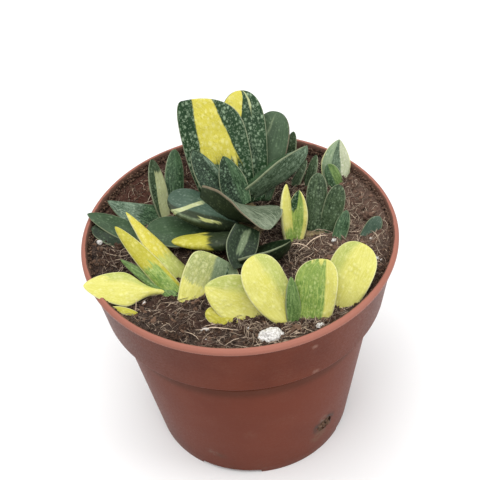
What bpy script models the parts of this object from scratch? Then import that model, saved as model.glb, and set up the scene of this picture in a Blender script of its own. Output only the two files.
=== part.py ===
"""Potted gasteria: a clump of variegated gasteria rosettes in a round plastic nursery pot.

Modelled at real size with +Z up. The origin is the middle of the pot's foot, on the surface
that the pot stands on, and the photographed side faces -Y.
"""
import math

import bmesh
import bpy
from mathutils import Matrix, Vector, noise
from mathutils.bvhtree import BVHTree

MM = 0.001
GAP = 0.3 * MM
MERGE = 0.02 * MM

# Pot: a 10.5 cm nursery pot with a tall collar under its rounded lip.
POT_SIDES = 48
POT_RADIUS = 52.5
POT_HEIGHT = 87.0
LIP_DROP = 2.5
LIP_OVERHANG = 1.1
RIM_WALL = 2.0
COLLAR_LOW_RADIUS = 48.4
COLLAR_LOW_Z = 63.6
BODY_TOP_RADIUS = 44.6
BODY_TOP_DROP = 5.3
STEP_GROOVE = 0.3
FOOT_RADIUS = 35.9
FOOT_WIDTH = 2.4
FOOT_RISE = 2.2
WALL = 1.2
DRAFT = 0.2
NOTCH_WIDTH = 22.0
NOTCH_HEIGHT = 1.6
NOTCH_DEPTH = 12.0
NOTCH_ANGLES = (-107.0, -17.0, 73.0, 163.0)
SIDE_HOLE_RADIUS = 3.4
SIDE_HOLE_Z = 17.5
SIDE_HOLE_ANGLES = (-51.0, 69.0, 189.0)
BASE_HOLE_RADIUS = 3.8
BASE_HOLE_RING = 21.0
BASE_HOLE_ANGLES = (45.0, 135.0, 225.0, 315.0)
CUTTER_LENGTH = 8.0

# Soil: fills the pot to a few millimetres under the rim, and lies higher along the wall.
SOIL_TOP = 80.6
SOIL_FLAT_RADIUS = 41.0
SOIL_EDGE_Z = 83.8

# Leaves: a flattened round section on a bent spine.
SMALL_LEAF = 22.0
LARGE_LEAF_SIDES, LARGE_LEAF_RINGS = 10, 11
SMALL_LEAF_SIDES, SMALL_LEAF_RINGS = 8, 8
FOOT_ROUNDING = 0.04
TIP_THINNING = 0.35
MITRE_LIMIT = 2.5

POT_BROWN = (0.165, 0.062, 0.040)
PEAT = (0.035, 0.018, 0.011)
STEM_GREEN = (0.095, 0.085, 0.030)
DARK_GREEN = (0.030, 0.075, 0.035)
MID_GREEN = (0.085, 0.170, 0.035)
LEAF_YELLOW = (0.640, 0.580, 0.080)
PALE_CREAM = (0.620, 0.610, 0.320)
PERLITE_WHITE = (0.720, 0.690, 0.620)

# Short stems that just break the surface: middle (x, y), half widths (x, y), turn, low z, top z.
STEMS = {
    "mother_stem": ((3.0, 8.0), (6.0, 9.5), 0.0, 74.0, 86.0),
    "left_pup_stem": ((-27.0, 13.5), (3.5, 8.0), -35.0, 73.0, 81.2),
    "yellow_pup_stem": ((-23.5, -17.0), (4.0, 4.0), 0.0, 73.0, 81.2),
    "fan_stem": ((17.5, -32.0), (8.0, 2.8), 0.0, 73.0, 81.2),
    "right_pup_stem": ((23.5, 2.5), (7.5, 2.5), 0.0, 73.0, 81.2),
}

# Leaves in the order in which they overlie each other: where two meet, the later one is
# trimmed. base and tip are the ends of the spine and face is the way the upper side looks.
# width and thick are the largest sizes, wide is where along the spine (0 to 1) the leaf is
# broadest and foot the share of that width at its base. full and blunt round the tip, keel
# deepens the underside and channel hollows the upper side. bow and sweep bend the spine, neck
# keeps the foot narrow for longer, skew moves the tip to one side and twist turns the blade
# along its length, in degrees.
LEAVES = {
    "mother_front_leaf": dict(
        base=(-11, 13, 92.5), tip=(13.5, -2.5, 92), face=(0.39, 0.52, 0.66), colour=DARK_GREEN,
        width=18, thick=2.6, wide=0.7, foot=0.5, full=2.4, blunt=2.4, channel=1, keel=4, bow=1,
        skew=-0.5, twist=-80),
    "mother_young_leaf": dict(
        base=(1.5, 9.5, 89), tip=(-3, 16.5, 105.5), face=(0.2, -0.8, 0.5), colour=DARK_GREEN,
        width=9.5, thick=2, wide=0.4, foot=0.8, full=1.7, blunt=1.4, channel=1),
    "mother_inner_left_leaf": dict(
        base=(-1.5, 9.5, 88), tip=(-13, 20.5, 106), face=(0.35, -0.75, 0.5), colour=DARK_GREEN,
        width=9.5, thick=3, wide=0.4, foot=0.8, full=1.8, blunt=1.6, sweep=0.5),
    "mother_young_side_leaf": dict(
        base=(1, 11, 89), tip=(-9, 21.5, 103.5), face=(0.15, -0.8, 0.5), colour=DARK_GREEN,
        width=7, thick=2, wide=0.45, foot=0.7, full=2, blunt=1.6),
    "mother_right_leaf": dict(
        base=(2, 17, 92), tip=(25.5, 22.5, 102), face=(-0.48, 0.45, 0.75), colour=DARK_GREEN,
        width=14, thick=2, wide=0.4, foot=0.8, full=1.7, blunt=1.5, channel=1.5, keel=5.5, bow=1,
        twist=30),
    "mother_back_left_leaf": dict(
        base=(-1.5, 14.5, 84), tip=(-7.5, 29.5, 121), face=(-0.05, -0.88, 0.47),
        colour=LEAF_YELLOW, width=22, thick=3.4, wide=0.58, foot=0.72, full=3, blunt=2.2, bow=1,
        skew=0.7),
    "mother_back_leaf": dict(
        base=(4.5, 15.5, 85), tip=(4.5, 36.5, 117), face=(0.1, -0.85, 0.5), colour=DARK_GREEN,
        width=15.5, thick=3, wide=0.6, foot=0.7, full=2.8, blunt=2.2, bow=1),
    "mother_back_right_leaf": dict(
        base=(7.5, 17.5, 84), tip=(16.5, 36.5, 107), face=(-0.2, -0.8, 0.55), colour=DARK_GREEN,
        width=13, thick=2.8, wide=0.6, foot=0.7, full=2.8, blunt=2.2, bow=1),
    "mother_front_left_leaf": dict(
        base=(3, -2, 90), tip=(-2.5, -16, 85), face=(0.3, -0.3, 1), colour=DARK_GREEN,
        width=10.5, thick=2.6, wide=0.45, foot=0.8, full=1.6, blunt=1.35, channel=1),
    "mother_left_leaf": dict(
        base=(-1.5, 5, 84), tip=(-22.5, 9, 96), face=(0.1, -0.1, 1), colour=DARK_GREEN,
        width=13.5, thick=8, wide=0.6, foot=0.45, full=2.8, blunt=2, keel=0.5, bow=1),
    "mother_yellow_tip_leaf": dict(
        base=(4, -3, 84.5), tip=(-22, -6.5, 90.5), face=(0.05, 0.2, 0.95), colour=LEAF_YELLOW,
        width=8.5, thick=6, wide=0.5, foot=0.7, full=2.2, blunt=1.9, keel=0.8),
    "mother_low_right_leaf": dict(
        base=(-1, -9.5, 84), tip=(16.5, -8.5, 88.5), face=(-0.1, 0.55, 0.8), colour=DARK_GREEN,
        width=16, thick=2.6, wide=0.5, foot=0.7, full=2.4, blunt=1.9, channel=2.5, keel=2),
    "mother_low_left_leaf": dict(
        base=(-0.5, 7, 80), tip=(-30.5, 2, 88), face=(0.1, -0.2, 0.95), colour=DARK_GREEN,
        width=13, thick=4, wide=0.65, foot=0.5, full=2.4, blunt=2),
    "back_pup_leaf": dict(
        base=(18, 35, 78), tip=(22.5, 40, 95), face=(-0.4, -0.6, 0.6), colour=DARK_GREEN,
        width=5, thick=2.2, wide=0.5, foot=0.7, full=2, blunt=1.8),
    "left_pup_upright_leaf": dict(
        base=(-25, 16, 79), tip=(-27.5, 26.5, 99), face=(0.5, -0.75, 0.4), colour=DARK_GREEN,
        width=6.5, thick=2.8, wide=0.5, foot=0.5, full=1.8, blunt=1.7, channel=0.8),
    "left_pup_back_leaf": dict(
        base=(-22, 22, 79), tip=(-20, 36, 95), face=(0.2, -0.8, 0.5), colour=MID_GREEN, width=7,
        thick=2.6, wide=0.5, foot=0.7, full=2, blunt=1.8),
    "left_pup_striped_leaf": dict(
        base=(-26.5, 15.5, 79), tip=(-44, 19, 88.5), face=(0.3, -0.4, 0.85), colour=DARK_GREEN,
        width=12, thick=3, wide=0.2, foot=0.95, full=1.25, blunt=1.3, sweep=1),
    "left_pup_rim_leaf": dict(
        base=(-31, 7.5, 79), tip=(-50.5, 12, 89.5), face=(0.1, -0.3, 1), colour=MID_GREEN,
        width=8, thick=2.6, wide=0.4, foot=0.8, full=1.7, blunt=1.5),
    "left_pup_low_leaf": dict(
        base=(-32, 4, 78), tip=(-49.5, 8.5, 86), face=(0.1, -0.35, 0.95), colour=DARK_GREEN,
        width=7, thick=2.4, wide=0.6, foot=0.7, full=2.2, blunt=1.8),
    "yellow_pup_middle_leaf": dict(
        base=(-19.5, -21, 77), tip=(-39.5, -4, 97), face=(0.2, -0.75, 0.6), colour=LEAF_YELLOW,
        width=6.5, thick=4, wide=0.4, foot=0.9, full=1.7, blunt=1.6),
    "yellow_pup_back_leaf": dict(
        base=(-18, -16, 76.5), tip=(-36, 1.5, 98), face=(0.6, -0.45, 0.6), colour=LEAF_YELLOW,
        width=10.5, thick=3.4, wide=0.15, foot=0.97, full=1.15, blunt=1.3),
    "yellow_pup_lying_leaf": dict(
        base=(-23.5, -18.5, 79), tip=(-50, -22.5, 90), face=(0.05, -0.35, 0.95),
        colour=LEAF_YELLOW, width=12, thick=3.2, wide=0.55, foot=0.15, neck=5, full=1.6,
        blunt=1.5),
    "yellow_pup_green_leaf": dict(
        base=(-20, -22, 78), tip=(-39, -9.5, 87.5), face=(0, -0.7, 0.8), colour=DARK_GREEN,
        width=4.5, thick=2.6, wide=0.4, foot=0.8, full=1.6, blunt=1.5),
    "yellow_sliver_leaf": dict(
        base=(-33, -29.5, 81.5), tip=(-41.5, -28.5, 85.5), face=(0, -0.4, 0.9),
        colour=LEAF_YELLOW, width=2.6, thick=1.6, wide=0.5, foot=0.5, full=1.8, blunt=1.6),
    "fan_big_left_leaf": dict(
        base=(14.5, -36.5, 78), tip=(3.5, -25, 99), face=(0.35, -0.75, 0.55), colour=LEAF_YELLOW,
        width=14, thick=3.2, wide=0.62, foot=0.3, full=2.6, blunt=2.1, sweep=1),
    "fan_striped_leaf": dict(
        base=(19.5, -38, 78), tip=(23.5, -28.5, 99), face=(-0.3, -0.85, 0.5), colour=LEAF_YELLOW,
        width=13.5, thick=3, wide=0.6, foot=0.75, full=2.6, blunt=1.9, skew=-0.35),
    "fan_centre_leaf": dict(
        base=(14.5, -37.5, 78), tip=(14.5, -31, 94.5), face=(0.2, -0.9, 0.3), colour=MID_GREEN,
        width=5, thick=2.6, wide=0.4, foot=0.7, full=1.7, blunt=1.6),
    "fan_left_leaf": dict(
        base=(11, -31.5, 78), tip=(-12, -27.5, 90), face=(0.25, -0.7, 0.7), colour=LEAF_YELLOW,
        width=16, thick=3, wide=0.5, foot=0.75, full=1.9, blunt=1.5),
    "fan_right_leaf": dict(
        base=(25.5, -34.5, 78), tip=(38, -22, 97), face=(-0.35, -0.8, 0.55), colour=LEAF_YELLOW,
        width=14.5, thick=3.2, wide=0.6, foot=0.6, full=2.8, blunt=2.3),
    "fan_low_left_leaf": dict(
        base=(-1, -35.5, 79), tip=(-12.5, -32, 83.5), face=(0.2, -0.7, 0.7), colour=LEAF_YELLOW,
        width=6.5, thick=2.2, wide=0.5, foot=0.7, full=2.4, blunt=2.2),
    "pale_leaf": dict(
        base=(-16.5, -25, 77), tip=(-7, -12.5, 87.5), face=(0.2, -0.75, 0.65), colour=PALE_CREAM,
        width=17.5, thick=3.2, wide=0.65, foot=0.7, full=4, blunt=3),
    "right_pup_lime_leaf": dict(
        base=(18.5, 0.5, 78), tip=(21, 7.5, 95.5), face=(-0.3, -0.85, 0.35), colour=LEAF_YELLOW,
        width=7.5, thick=2.4, wide=0.5, foot=0.6, full=1.7, blunt=1.5),
    "right_pup_yellow_leaf": dict(
        base=(17, -0.5, 78), tip=(17, 9.5, 97), face=(0.55, -0.7, 0.3), colour=LEAF_YELLOW,
        width=5, thick=3, wide=0.45, foot=0.6, full=1.8, blunt=1.6, sweep=1),
    "right_pup_dark_leaf": dict(
        base=(29, 2, 78), tip=(34.5, 8, 96), face=(-0.2, -0.9, 0.4), colour=DARK_GREEN, width=7,
        thick=2.8, wide=0.55, foot=0.7, full=2.4, blunt=1.9),
    "right_pup_round_leaf": dict(
        base=(25, 2.5, 78), tip=(28, 12.5, 98), face=(-0.1, -0.9, 0.4), colour=DARK_GREEN,
        width=7, thick=3, wide=0.65, foot=0.75, full=2.4, blunt=2),
    "cream_pup_green_leaf": dict(
        base=(37, 23, 78), tip=(33, 27.5, 89), face=(0.1, -0.9, 0.4), colour=MID_GREEN, width=6,
        thick=2.2, wide=0.6, foot=0.6, full=2.2, blunt=2),
    "cream_pup_leaf": dict(
        base=(36, 24, 78), tip=(38, 34.5, 94), face=(0, -0.9, 0.4), colour=PALE_CREAM,
        width=10.5, thick=3, wide=0.55, foot=0.6, full=1.5, blunt=1.4, sweep=1),
    "thin_pup_left_leaf": dict(
        base=(19, 25, 78), tip=(26, 32, 88), face=(-0.5, -0.6, 0.5), colour=DARK_GREEN,
        width=3.5, thick=2, wide=0.4, foot=0.7, full=2.2, blunt=1.8),
    "thin_pup_right_leaf": dict(
        base=(24.5, 24.5, 78), tip=(29.5, 32, 90), face=(-0.6, -0.6, 0.5), colour=DARK_GREEN,
        width=4.5, thick=2, wide=0.4, foot=0.7, full=2.2, blunt=1.8),
    "small_pup_leaf": dict(
        base=(32, -2.5, 78), tip=(36.5, 4, 88), face=(-0.3, -0.8, 0.5), colour=DARK_GREEN,
        width=5, thick=2.2, wide=0.5, foot=0.8, full=2, blunt=1.6),
    "edge_pup_leaf": dict(
        base=(40.5, -3, 78), tip=(47, 0.5, 87), face=(-0.4, -0.75, 0.5), colour=DARK_GREEN,
        width=5.5, thick=2.2, wide=0.6, foot=0.7, full=2.2, blunt=1.6),
}

# Perlite grains half sunk in the soil: middle, half sizes.
PERLITE = {
    "perlite_large": ((7.0, -43.0, 81.2), (4.0, 3.2, 2.8)),
    "perlite_medium": ((22.3, -41.5, 82.2), (1.7, 1.5, 1.3)),
    "perlite_left": ((-47.0, 4.0, 83.2), (1.0, 0.9, 0.9)),
    "perlite_right": ((31.0, -10.5, 80.6), (1.2, 1.0, 0.9)),
}


def clear_scene():
    """Remove every object that the file holds."""
    for obj in list(bpy.data.objects):
        bpy.data.objects.remove(obj, do_unlink=True)


def new_collection(name):
    """Make a collection under the scene."""
    group = bpy.data.collections.new(name)
    bpy.context.scene.collection.children.link(group)
    return group


def new_object(name, mesh, group):
    """Put a mesh in the scene as an object of one group."""
    obj = bpy.data.objects.new(name, mesh)
    group.objects.link(obj)
    return obj


def finish(obj, colour, roughness):
    """Give an object its own material and shade it as a rounded body."""
    mat = bpy.data.materials.new(obj.name)
    mat.use_nodes = True
    shader = mat.node_tree.nodes["Principled BSDF"]
    shader.inputs["Base Color"].default_value = (*colour, 1.0)
    shader.inputs["Roughness"].default_value = roughness
    shader.inputs["Metallic"].default_value = 0.0
    obj.data.materials.clear()
    obj.data.materials.append(mat)
    obj.data.shade_smooth()
    obj.data.set_sharp_from_angle(angle=math.radians(40.0))


def turned(name, profile, group):
    """Turn a profile of (radius, height) points in millimetres round the Z axis."""
    mesh = bpy.data.meshes.new(name)
    points = [(r * MM, 0.0, z * MM) for r, z in profile]
    mesh.from_pydata(points, [(i, i + 1) for i in range(len(points) - 1)], [])
    obj = new_object(name, mesh, group)
    screw = obj.modifiers.new("turn", "SCREW")
    screw.steps = POT_SIDES
    screw.render_steps = POT_SIDES
    screw.use_merge_vertices = True
    screw.merge_threshold = 0.00001
    return obj


def settle(obj):
    """Replace an object's mesh by the one that its modifiers give."""
    graph = bpy.context.evaluated_depsgraph_get()
    mesh = bpy.data.meshes.new_from_object(obj.evaluated_get(graph))
    obj.modifiers.clear()
    obj.data = mesh


def make_cutter(obj):
    """Mark an object as a tool that is not part of the model."""
    obj.hide_render = True
    obj.display_type = "WIRE"
    return obj


def cylinder(name, radius, depth, place, group):
    """Add a capped cylinder whose axis is turned and moved by a matrix."""
    bm = bmesh.new()
    bmesh.ops.create_cone(bm, cap_ends=True, segments=14, radius1=radius, radius2=radius,
                          depth=depth, matrix=place)
    mesh = bpy.data.meshes.new(name)
    bm.to_mesh(mesh)
    bm.free()
    return new_object(name, mesh, group)


def body_radius(z):
    """Return the outer radius of the pot's body at a height, in millimetres."""
    return FOOT_RADIUS + (BODY_TOP_RADIUS - FOOT_RADIUS) * z / (COLLAR_LOW_Z - BODY_TOP_DROP)


def inner_wall():
    """List the inside of the pot's wall from the floor's edge up to the lip."""
    return [
        (body_radius(FOOT_RISE + WALL) - WALL, FOOT_RISE + WALL),
        (BODY_TOP_RADIUS - WALL, COLLAR_LOW_Z - 2.0),
        (COLLAR_LOW_RADIUS - WALL, COLLAR_LOW_Z + WALL / 2.0),
        (POT_RADIUS - RIM_WALL - DRAFT, POT_HEIGHT - LIP_DROP),
    ]


def pot_profile():
    """List the pot's wall from the inner floor's middle over the rim to the underside."""
    lip_z = POT_HEIGHT - LIP_DROP
    return [
        (0.0, FOOT_RISE + WALL),
        *inner_wall(),
        (POT_RADIUS - RIM_WALL, POT_HEIGHT - 0.7),
        (POT_RADIUS - RIM_WALL + 0.5, POT_HEIGHT),
        (POT_RADIUS - 0.8, POT_HEIGHT),
        (POT_RADIUS, POT_HEIGHT - 0.8),
        (POT_RADIUS, lip_z + 0.5),
        (POT_RADIUS - LIP_OVERHANG, lip_z),
        (COLLAR_LOW_RADIUS, COLLAR_LOW_Z),
        (COLLAR_LOW_RADIUS - 0.6, COLLAR_LOW_Z - 0.7),
        (BODY_TOP_RADIUS + 0.6, COLLAR_LOW_Z - 1.0),
        (BODY_TOP_RADIUS - STEP_GROOVE, COLLAR_LOW_Z - 2.2),
        (BODY_TOP_RADIUS - STEP_GROOVE, COLLAR_LOW_Z - BODY_TOP_DROP + 0.5),
        (BODY_TOP_RADIUS, COLLAR_LOW_Z - BODY_TOP_DROP),
        (FOOT_RADIUS, 0.0),
        (FOOT_RADIUS - FOOT_WIDTH, 0.0),
        (FOOT_RADIUS - FOOT_WIDTH - DRAFT, FOOT_RISE),
        (0.0, FOOT_RISE),
    ]


def subtract(obj, cutter):
    """Add a Boolean that takes the cutter out of an object."""
    cut = obj.modifiers.new("cut " + cutter.name, "BOOLEAN")
    cut.operation = "DIFFERENCE"
    cut.solver = "EXACT"
    cut.object = cutter


def make_pot(group, tools):
    """Model the pot with its foot notches and drain holes."""
    pot = turned("pot", pot_profile(), group)
    for k, angle in enumerate(NOTCH_ANGLES):
        bm = bmesh.new()
        turn = Matrix.Rotation(math.radians(angle), 4, "Z")
        shift = Matrix.Translation((FOOT_RADIUS * MM, 0.0, 0.0))
        bmesh.ops.create_cube(bm, size=1.0)
        size = (NOTCH_DEPTH * MM, NOTCH_WIDTH * MM, 2.0 * NOTCH_HEIGHT * MM)
        bmesh.ops.scale(bm, vec=size, verts=bm.verts)
        bm.transform(turn @ shift)
        mesh = bpy.data.meshes.new(f"notch_{k}")
        bm.to_mesh(mesh)
        bm.free()
        subtract(pot, make_cutter(new_object(f"foot_notch_{k}", mesh, tools)))
    for k, angle in enumerate(SIDE_HOLE_ANGLES):
        turn = Matrix.Rotation(math.radians(angle), 4, "Z")
        tip = Matrix.Rotation(math.radians(90.0), 4, "Y")
        shift = Matrix.Translation((body_radius(SIDE_HOLE_Z) * MM, 0.0, SIDE_HOLE_Z * MM))
        hole = cylinder(f"side_hole_{k}", SIDE_HOLE_RADIUS * MM, CUTTER_LENGTH * MM,
                        turn @ shift @ tip, tools)
        subtract(pot, make_cutter(hole))
    for k, angle in enumerate(BASE_HOLE_ANGLES):
        turn = Matrix.Rotation(math.radians(angle), 4, "Z")
        shift = Matrix.Translation((BASE_HOLE_RING * MM, 0.0, FOOT_RISE * MM))
        hole = cylinder(f"base_hole_{k}", BASE_HOLE_RADIUS * MM, CUTTER_LENGTH * MM,
                        turn @ shift, tools)
        subtract(pot, make_cutter(hole))
    settle(pot)
    finish(pot, POT_BROWN, 0.5)
    return pot


def make_soil(group):
    """Fill the pot with soil that is level in the middle and rises to the wall."""
    gap = GAP / MM
    floor, body_top, collar_low, lip = inner_wall()
    slope = (lip[0] - collar_low[0]) / (lip[1] - collar_low[1])
    edge = collar_low[0] - gap + slope * (SOIL_EDGE_Z - collar_low[1])
    soil = turned("soil", [
        (0.0, SOIL_TOP),
        (SOIL_FLAT_RADIUS, SOIL_TOP),
        (edge, SOIL_EDGE_Z),
        (collar_low[0] - gap, collar_low[1] + gap),
        (body_top[0] - gap, body_top[1] + gap),
        (floor[0] - gap, floor[1] + gap),
        (0.0, floor[1] + gap),
    ], group)
    settle(soil)
    bm = bmesh.new()
    bm.from_mesh(soil.data)
    bmesh.ops.dissolve_limit(bm, angle_limit=math.radians(0.5), verts=bm.verts, edges=bm.edges)
    bm.to_mesh(soil.data)
    bm.free()
    return soil


def make_stem(name, middle, half, turn, low, top, group):
    """Model one short stem as a flattened stub that narrows upwards."""
    bm = bmesh.new()
    bmesh.ops.create_cone(bm, cap_ends=True, segments=16, radius1=1.0, radius2=0.85,
                          depth=1.0)
    grow = Matrix.Diagonal((half[0] * MM, half[1] * MM, (top - low) * MM, 1.0))
    spin = Matrix.Rotation(math.radians(turn), 4, "Z")
    move = Matrix.Translation((middle[0] * MM, middle[1] * MM, (top + low) / 2.0 * MM))
    bm.transform(move @ spin @ grow)
    mesh = bpy.data.meshes.new(name)
    bm.to_mesh(mesh)
    bm.free()
    stem = new_object(name, mesh, group)
    finish(stem, STEM_GREEN, 0.7)
    return stem


def leaf_outline(t, wide, foot, neck, full, blunt):
    """Return the share of the full width that a leaf has at t along its spine."""
    if t <= wide:
        return foot + (1.0 - foot) * math.sin(math.pi / 2.0 * t / wide) ** neck
    return max(0.0, 1.0 - ((t - wide) / (1.0 - wide)) ** full) ** (1.0 / blunt)


def leaf_point(t, across, up, leaf):
    """Return the place of a surface point of a leaf, in millimetres.

    t runs along the spine, and across and up are the cosine and sine round its section.
    """
    base, tip, face = Vector(leaf["base"]), Vector(leaf["tip"]), Vector(leaf["face"])
    chord = (tip - base).normalized()
    front = (face - chord * face.dot(chord)).normalized()
    bend = (base + tip) / 2.0 + front * leaf.get("bow", 0.0) * 2.0
    bend += front.cross(chord) * leaf.get("sweep", 0.0) * 2.0
    spine = (1 - t) ** 2 * base + 2 * t * (1 - t) * bend + t * t * tip
    along = ((1 - t) * (bend - base) + t * (tip - bend)).normalized()
    normal = (front - along * front.dot(along)).normalized()
    side = normal.cross(along)
    turn = math.radians(leaf.get("twist", 0.0)) * (t - 0.5)
    normal, side = (normal * math.cos(turn) + side * math.sin(turn),
                    side * math.cos(turn) - normal * math.sin(turn))
    close = math.sqrt(max(0.0, 1.0 - max(0.0, 1.0 - t / FOOT_ROUNDING) ** 2))
    share = leaf_outline(t, leaf["wide"], leaf["foot"], leaf.get("neck", 1.0),
                         leaf["full"], leaf["blunt"])
    half = leaf["width"] / 2.0
    shift = leaf.get("skew", 0.0) * (1.0 - share) * half if t > leaf["wide"] else 0.0
    depth = leaf["thick"] / 2.0 * math.sqrt(max(0.0, 1.0 - t ** 3)) * (1.0 - TIP_THINNING * t)
    rise = depth * up
    if up < 0.0:
        rise -= leaf.get("keel", 0.4) * math.sqrt(max(0.0, 1.0 - t ** 4)) * (1 - abs(across)) ** 1.2
    hollow = leaf.get("channel", 0.0) * share * (1.0 - across * across)
    return spine + side * (half * share * close * across + shift) + normal * (rise - hollow) * close


def make_leaf(name, leaf, group):
    """Model one leaf from a sphere whose rings are laid along the leaf's spine."""
    length = (Vector(leaf["tip"]) - Vector(leaf["base"])).length
    small = length < SMALL_LEAF
    sides = SMALL_LEAF_SIDES if small else LARGE_LEAF_SIDES
    rings = SMALL_LEAF_RINGS if small else LARGE_LEAF_RINGS
    bm = bmesh.new()
    bmesh.ops.create_uvsphere(bm, u_segments=sides, v_segments=rings, radius=1.0)
    for vert in bm.verts:
        x, y, z = vert.co
        round_radius = max(math.hypot(x, y), 1e-6)
        pole = round_radius < 1e-4
        across = 0.0 if pole else x / round_radius
        up = 0.0 if pole else y / round_radius
        vert.co = leaf_point((1.0 + z) / 2.0, across, up, leaf) * MM
    mesh = bpy.data.meshes.new(name)
    bm.to_mesh(mesh)
    bm.free()
    return new_object(name, mesh, group)


def make_grain(name, middle, half, group):
    """Model one perlite grain as a lumpy stone."""
    bm = bmesh.new()
    bmesh.ops.create_icosphere(bm, subdivisions=2, radius=1.0)
    for vert in bm.verts:
        lump = 1.0 + 0.22 * noise.noise(vert.co * 1.7 + Vector(middle))
        vert.co = Vector(a * b for a, b in zip(vert.co * lump, half)) * MM
    bm.transform(Matrix.Translation(Vector(middle) * MM))
    mesh = bpy.data.meshes.new(name)
    bm.to_mesh(mesh)
    bm.free()
    grain = new_object(name, mesh, group)
    finish(grain, PERLITE_WHITE, 0.9)
    return grain


def make_skin(obj, tools):
    """Copy an object as a cutter that stands one gap proud of it all round."""
    bm = bmesh.new()
    bm.from_mesh(obj.data)
    bm.normal_update()
    moves = [vert.normal * GAP * min(vert.calc_shell_factor(), MITRE_LIMIT) for vert in bm.verts]
    for vert, move in zip(bm.verts, moves):
        vert.co += move
    mesh = bpy.data.meshes.new(obj.name + "_skin")
    bm.to_mesh(mesh)
    bm.free()
    return make_cutter(new_object(obj.name + "_skin", mesh, tools))


def make_pit(skin, tools):
    """Wrap the low end of a skin in a plain hull, which the soil is cut by."""
    bm = bmesh.new()
    bm.from_mesh(skin.data)
    limit = SOIL_EDGE_Z * MM + GAP
    low = [face for face in bm.faces if min(vert.co.z for vert in face.verts) < limit]
    keep = {vert for face in low for vert in face.verts}
    bmesh.ops.delete(bm, geom=[vert for vert in bm.verts if vert not in keep], context="VERTS")
    bmesh.ops.delete(bm, geom=bm.edges[:], context="EDGES_FACES")
    hull = bmesh.ops.convex_hull(bm, input=bm.verts)
    spare = {item for item in hull["geom_interior"] if isinstance(item, bmesh.types.BMVert)}
    bmesh.ops.delete(bm, geom=list(spare), context="VERTS")
    bmesh.ops.recalc_face_normals(bm, faces=bm.faces)
    mesh = bpy.data.meshes.new(skin.name + "_pit")
    bm.to_mesh(mesh)
    bm.free()
    return make_cutter(new_object(skin.name + "_pit", mesh, tools))


def tree_of(obj):
    """Build a search tree over an object's faces."""
    bm = bmesh.new()
    bm.from_mesh(obj.data)
    tree = BVHTree.FromBMesh(bm)
    bm.free()
    return tree


def keep_largest(mesh):
    """Delete the loose scraps that a cut leaves beside the main body."""
    bm = bmesh.new()
    bm.from_mesh(mesh)
    left = set(bm.faces)
    bodies = []
    while left:
        body, front = [], [left.pop()]
        while front:
            face = front.pop()
            body.append(face)
            edges = [edge for edge in face.edges if len(edge.link_faces) == 2]
            fresh = {near for edge in edges for near in edge.link_faces if near in left}
            left -= fresh
            front.extend(fresh)
        bodies.append(body)
    bodies.sort(key=len)
    for body in bodies[:-1]:
        bmesh.ops.delete(bm, geom=body, context="FACES")
    bmesh.ops.delete(bm, geom=[vert for vert in bm.verts if not vert.link_faces], context="VERTS")
    bm.to_mesh(mesh)
    bm.free()


def merge_slivers(mesh):
    """Merge the short edges that cuts leave, where the surface stays closed."""
    bm = bmesh.new()
    bm.from_mesh(mesh)
    bmesh.ops.dissolve_degenerate(bm, dist=MERGE, edges=bm.edges)
    if all(edge.is_manifold for edge in bm.edges):
        bm.to_mesh(mesh)
    bm.free()


def trim(obj, skins):
    """Cut an object by every skin that it runs into."""
    for skin in skins:
        if tree_of(obj).overlap(tree_of(skin)):
            subtract(obj, skin)
            settle(obj)
            keep_largest(obj.data)
    merge_slivers(obj.data)


def main():
    """Build the pot, the soil and the plants, and trim what meets."""
    clear_scene()
    group = new_collection("potted gasteria")
    tools = new_collection("cutters")
    pot = make_pot(group, tools)
    soil = make_soil(group)
    pot_skin = make_skin(pot, tools)
    skins = []
    for name, (middle, half, turn, low, top) in STEMS.items():
        stem = make_stem(name, middle, half, turn, low, top, group)
        skins.append(make_skin(stem, tools))
    for name, leaf in LEAVES.items():
        obj = make_leaf(name, leaf, group)
        skin = make_skin(obj, tools)
        trim(obj, [pot_skin] + skins)
        finish(obj, leaf["colour"], 0.45)
        skins.append(skin)
    for name, (middle, half) in PERLITE.items():
        grain = make_grain(name, middle, half, group)
        skin = make_skin(grain, tools)
        trim(grain, skins)
        skins.append(skin)
    limit = SOIL_EDGE_Z * MM
    buried = [skin for skin in skins if min(vert.co.z for vert in skin.data.vertices) < limit]
    trim(soil, [make_pit(skin, tools) for skin in buried])
    finish(soil, PEAT, 0.95)


main()
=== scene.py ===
"""The looks of a potted gasteria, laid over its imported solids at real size."""

import math
import random

import bpy
import numpy as np
from mathutils import Matrix, Vector, noise


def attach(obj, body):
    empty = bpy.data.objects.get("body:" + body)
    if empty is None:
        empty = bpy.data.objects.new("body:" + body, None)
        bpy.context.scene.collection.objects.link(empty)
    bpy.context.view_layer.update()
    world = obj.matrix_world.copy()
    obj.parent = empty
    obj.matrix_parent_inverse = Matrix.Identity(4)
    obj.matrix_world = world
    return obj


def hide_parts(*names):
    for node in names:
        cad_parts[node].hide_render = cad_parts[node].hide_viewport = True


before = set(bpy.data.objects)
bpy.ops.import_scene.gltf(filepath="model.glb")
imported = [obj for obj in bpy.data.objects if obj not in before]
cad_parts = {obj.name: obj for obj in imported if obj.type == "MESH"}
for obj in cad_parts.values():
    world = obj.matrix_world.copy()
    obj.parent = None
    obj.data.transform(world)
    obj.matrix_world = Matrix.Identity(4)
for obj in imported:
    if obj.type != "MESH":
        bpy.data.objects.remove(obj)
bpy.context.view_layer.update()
bpy.ops.object.select_all(action="DESELECT")

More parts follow.
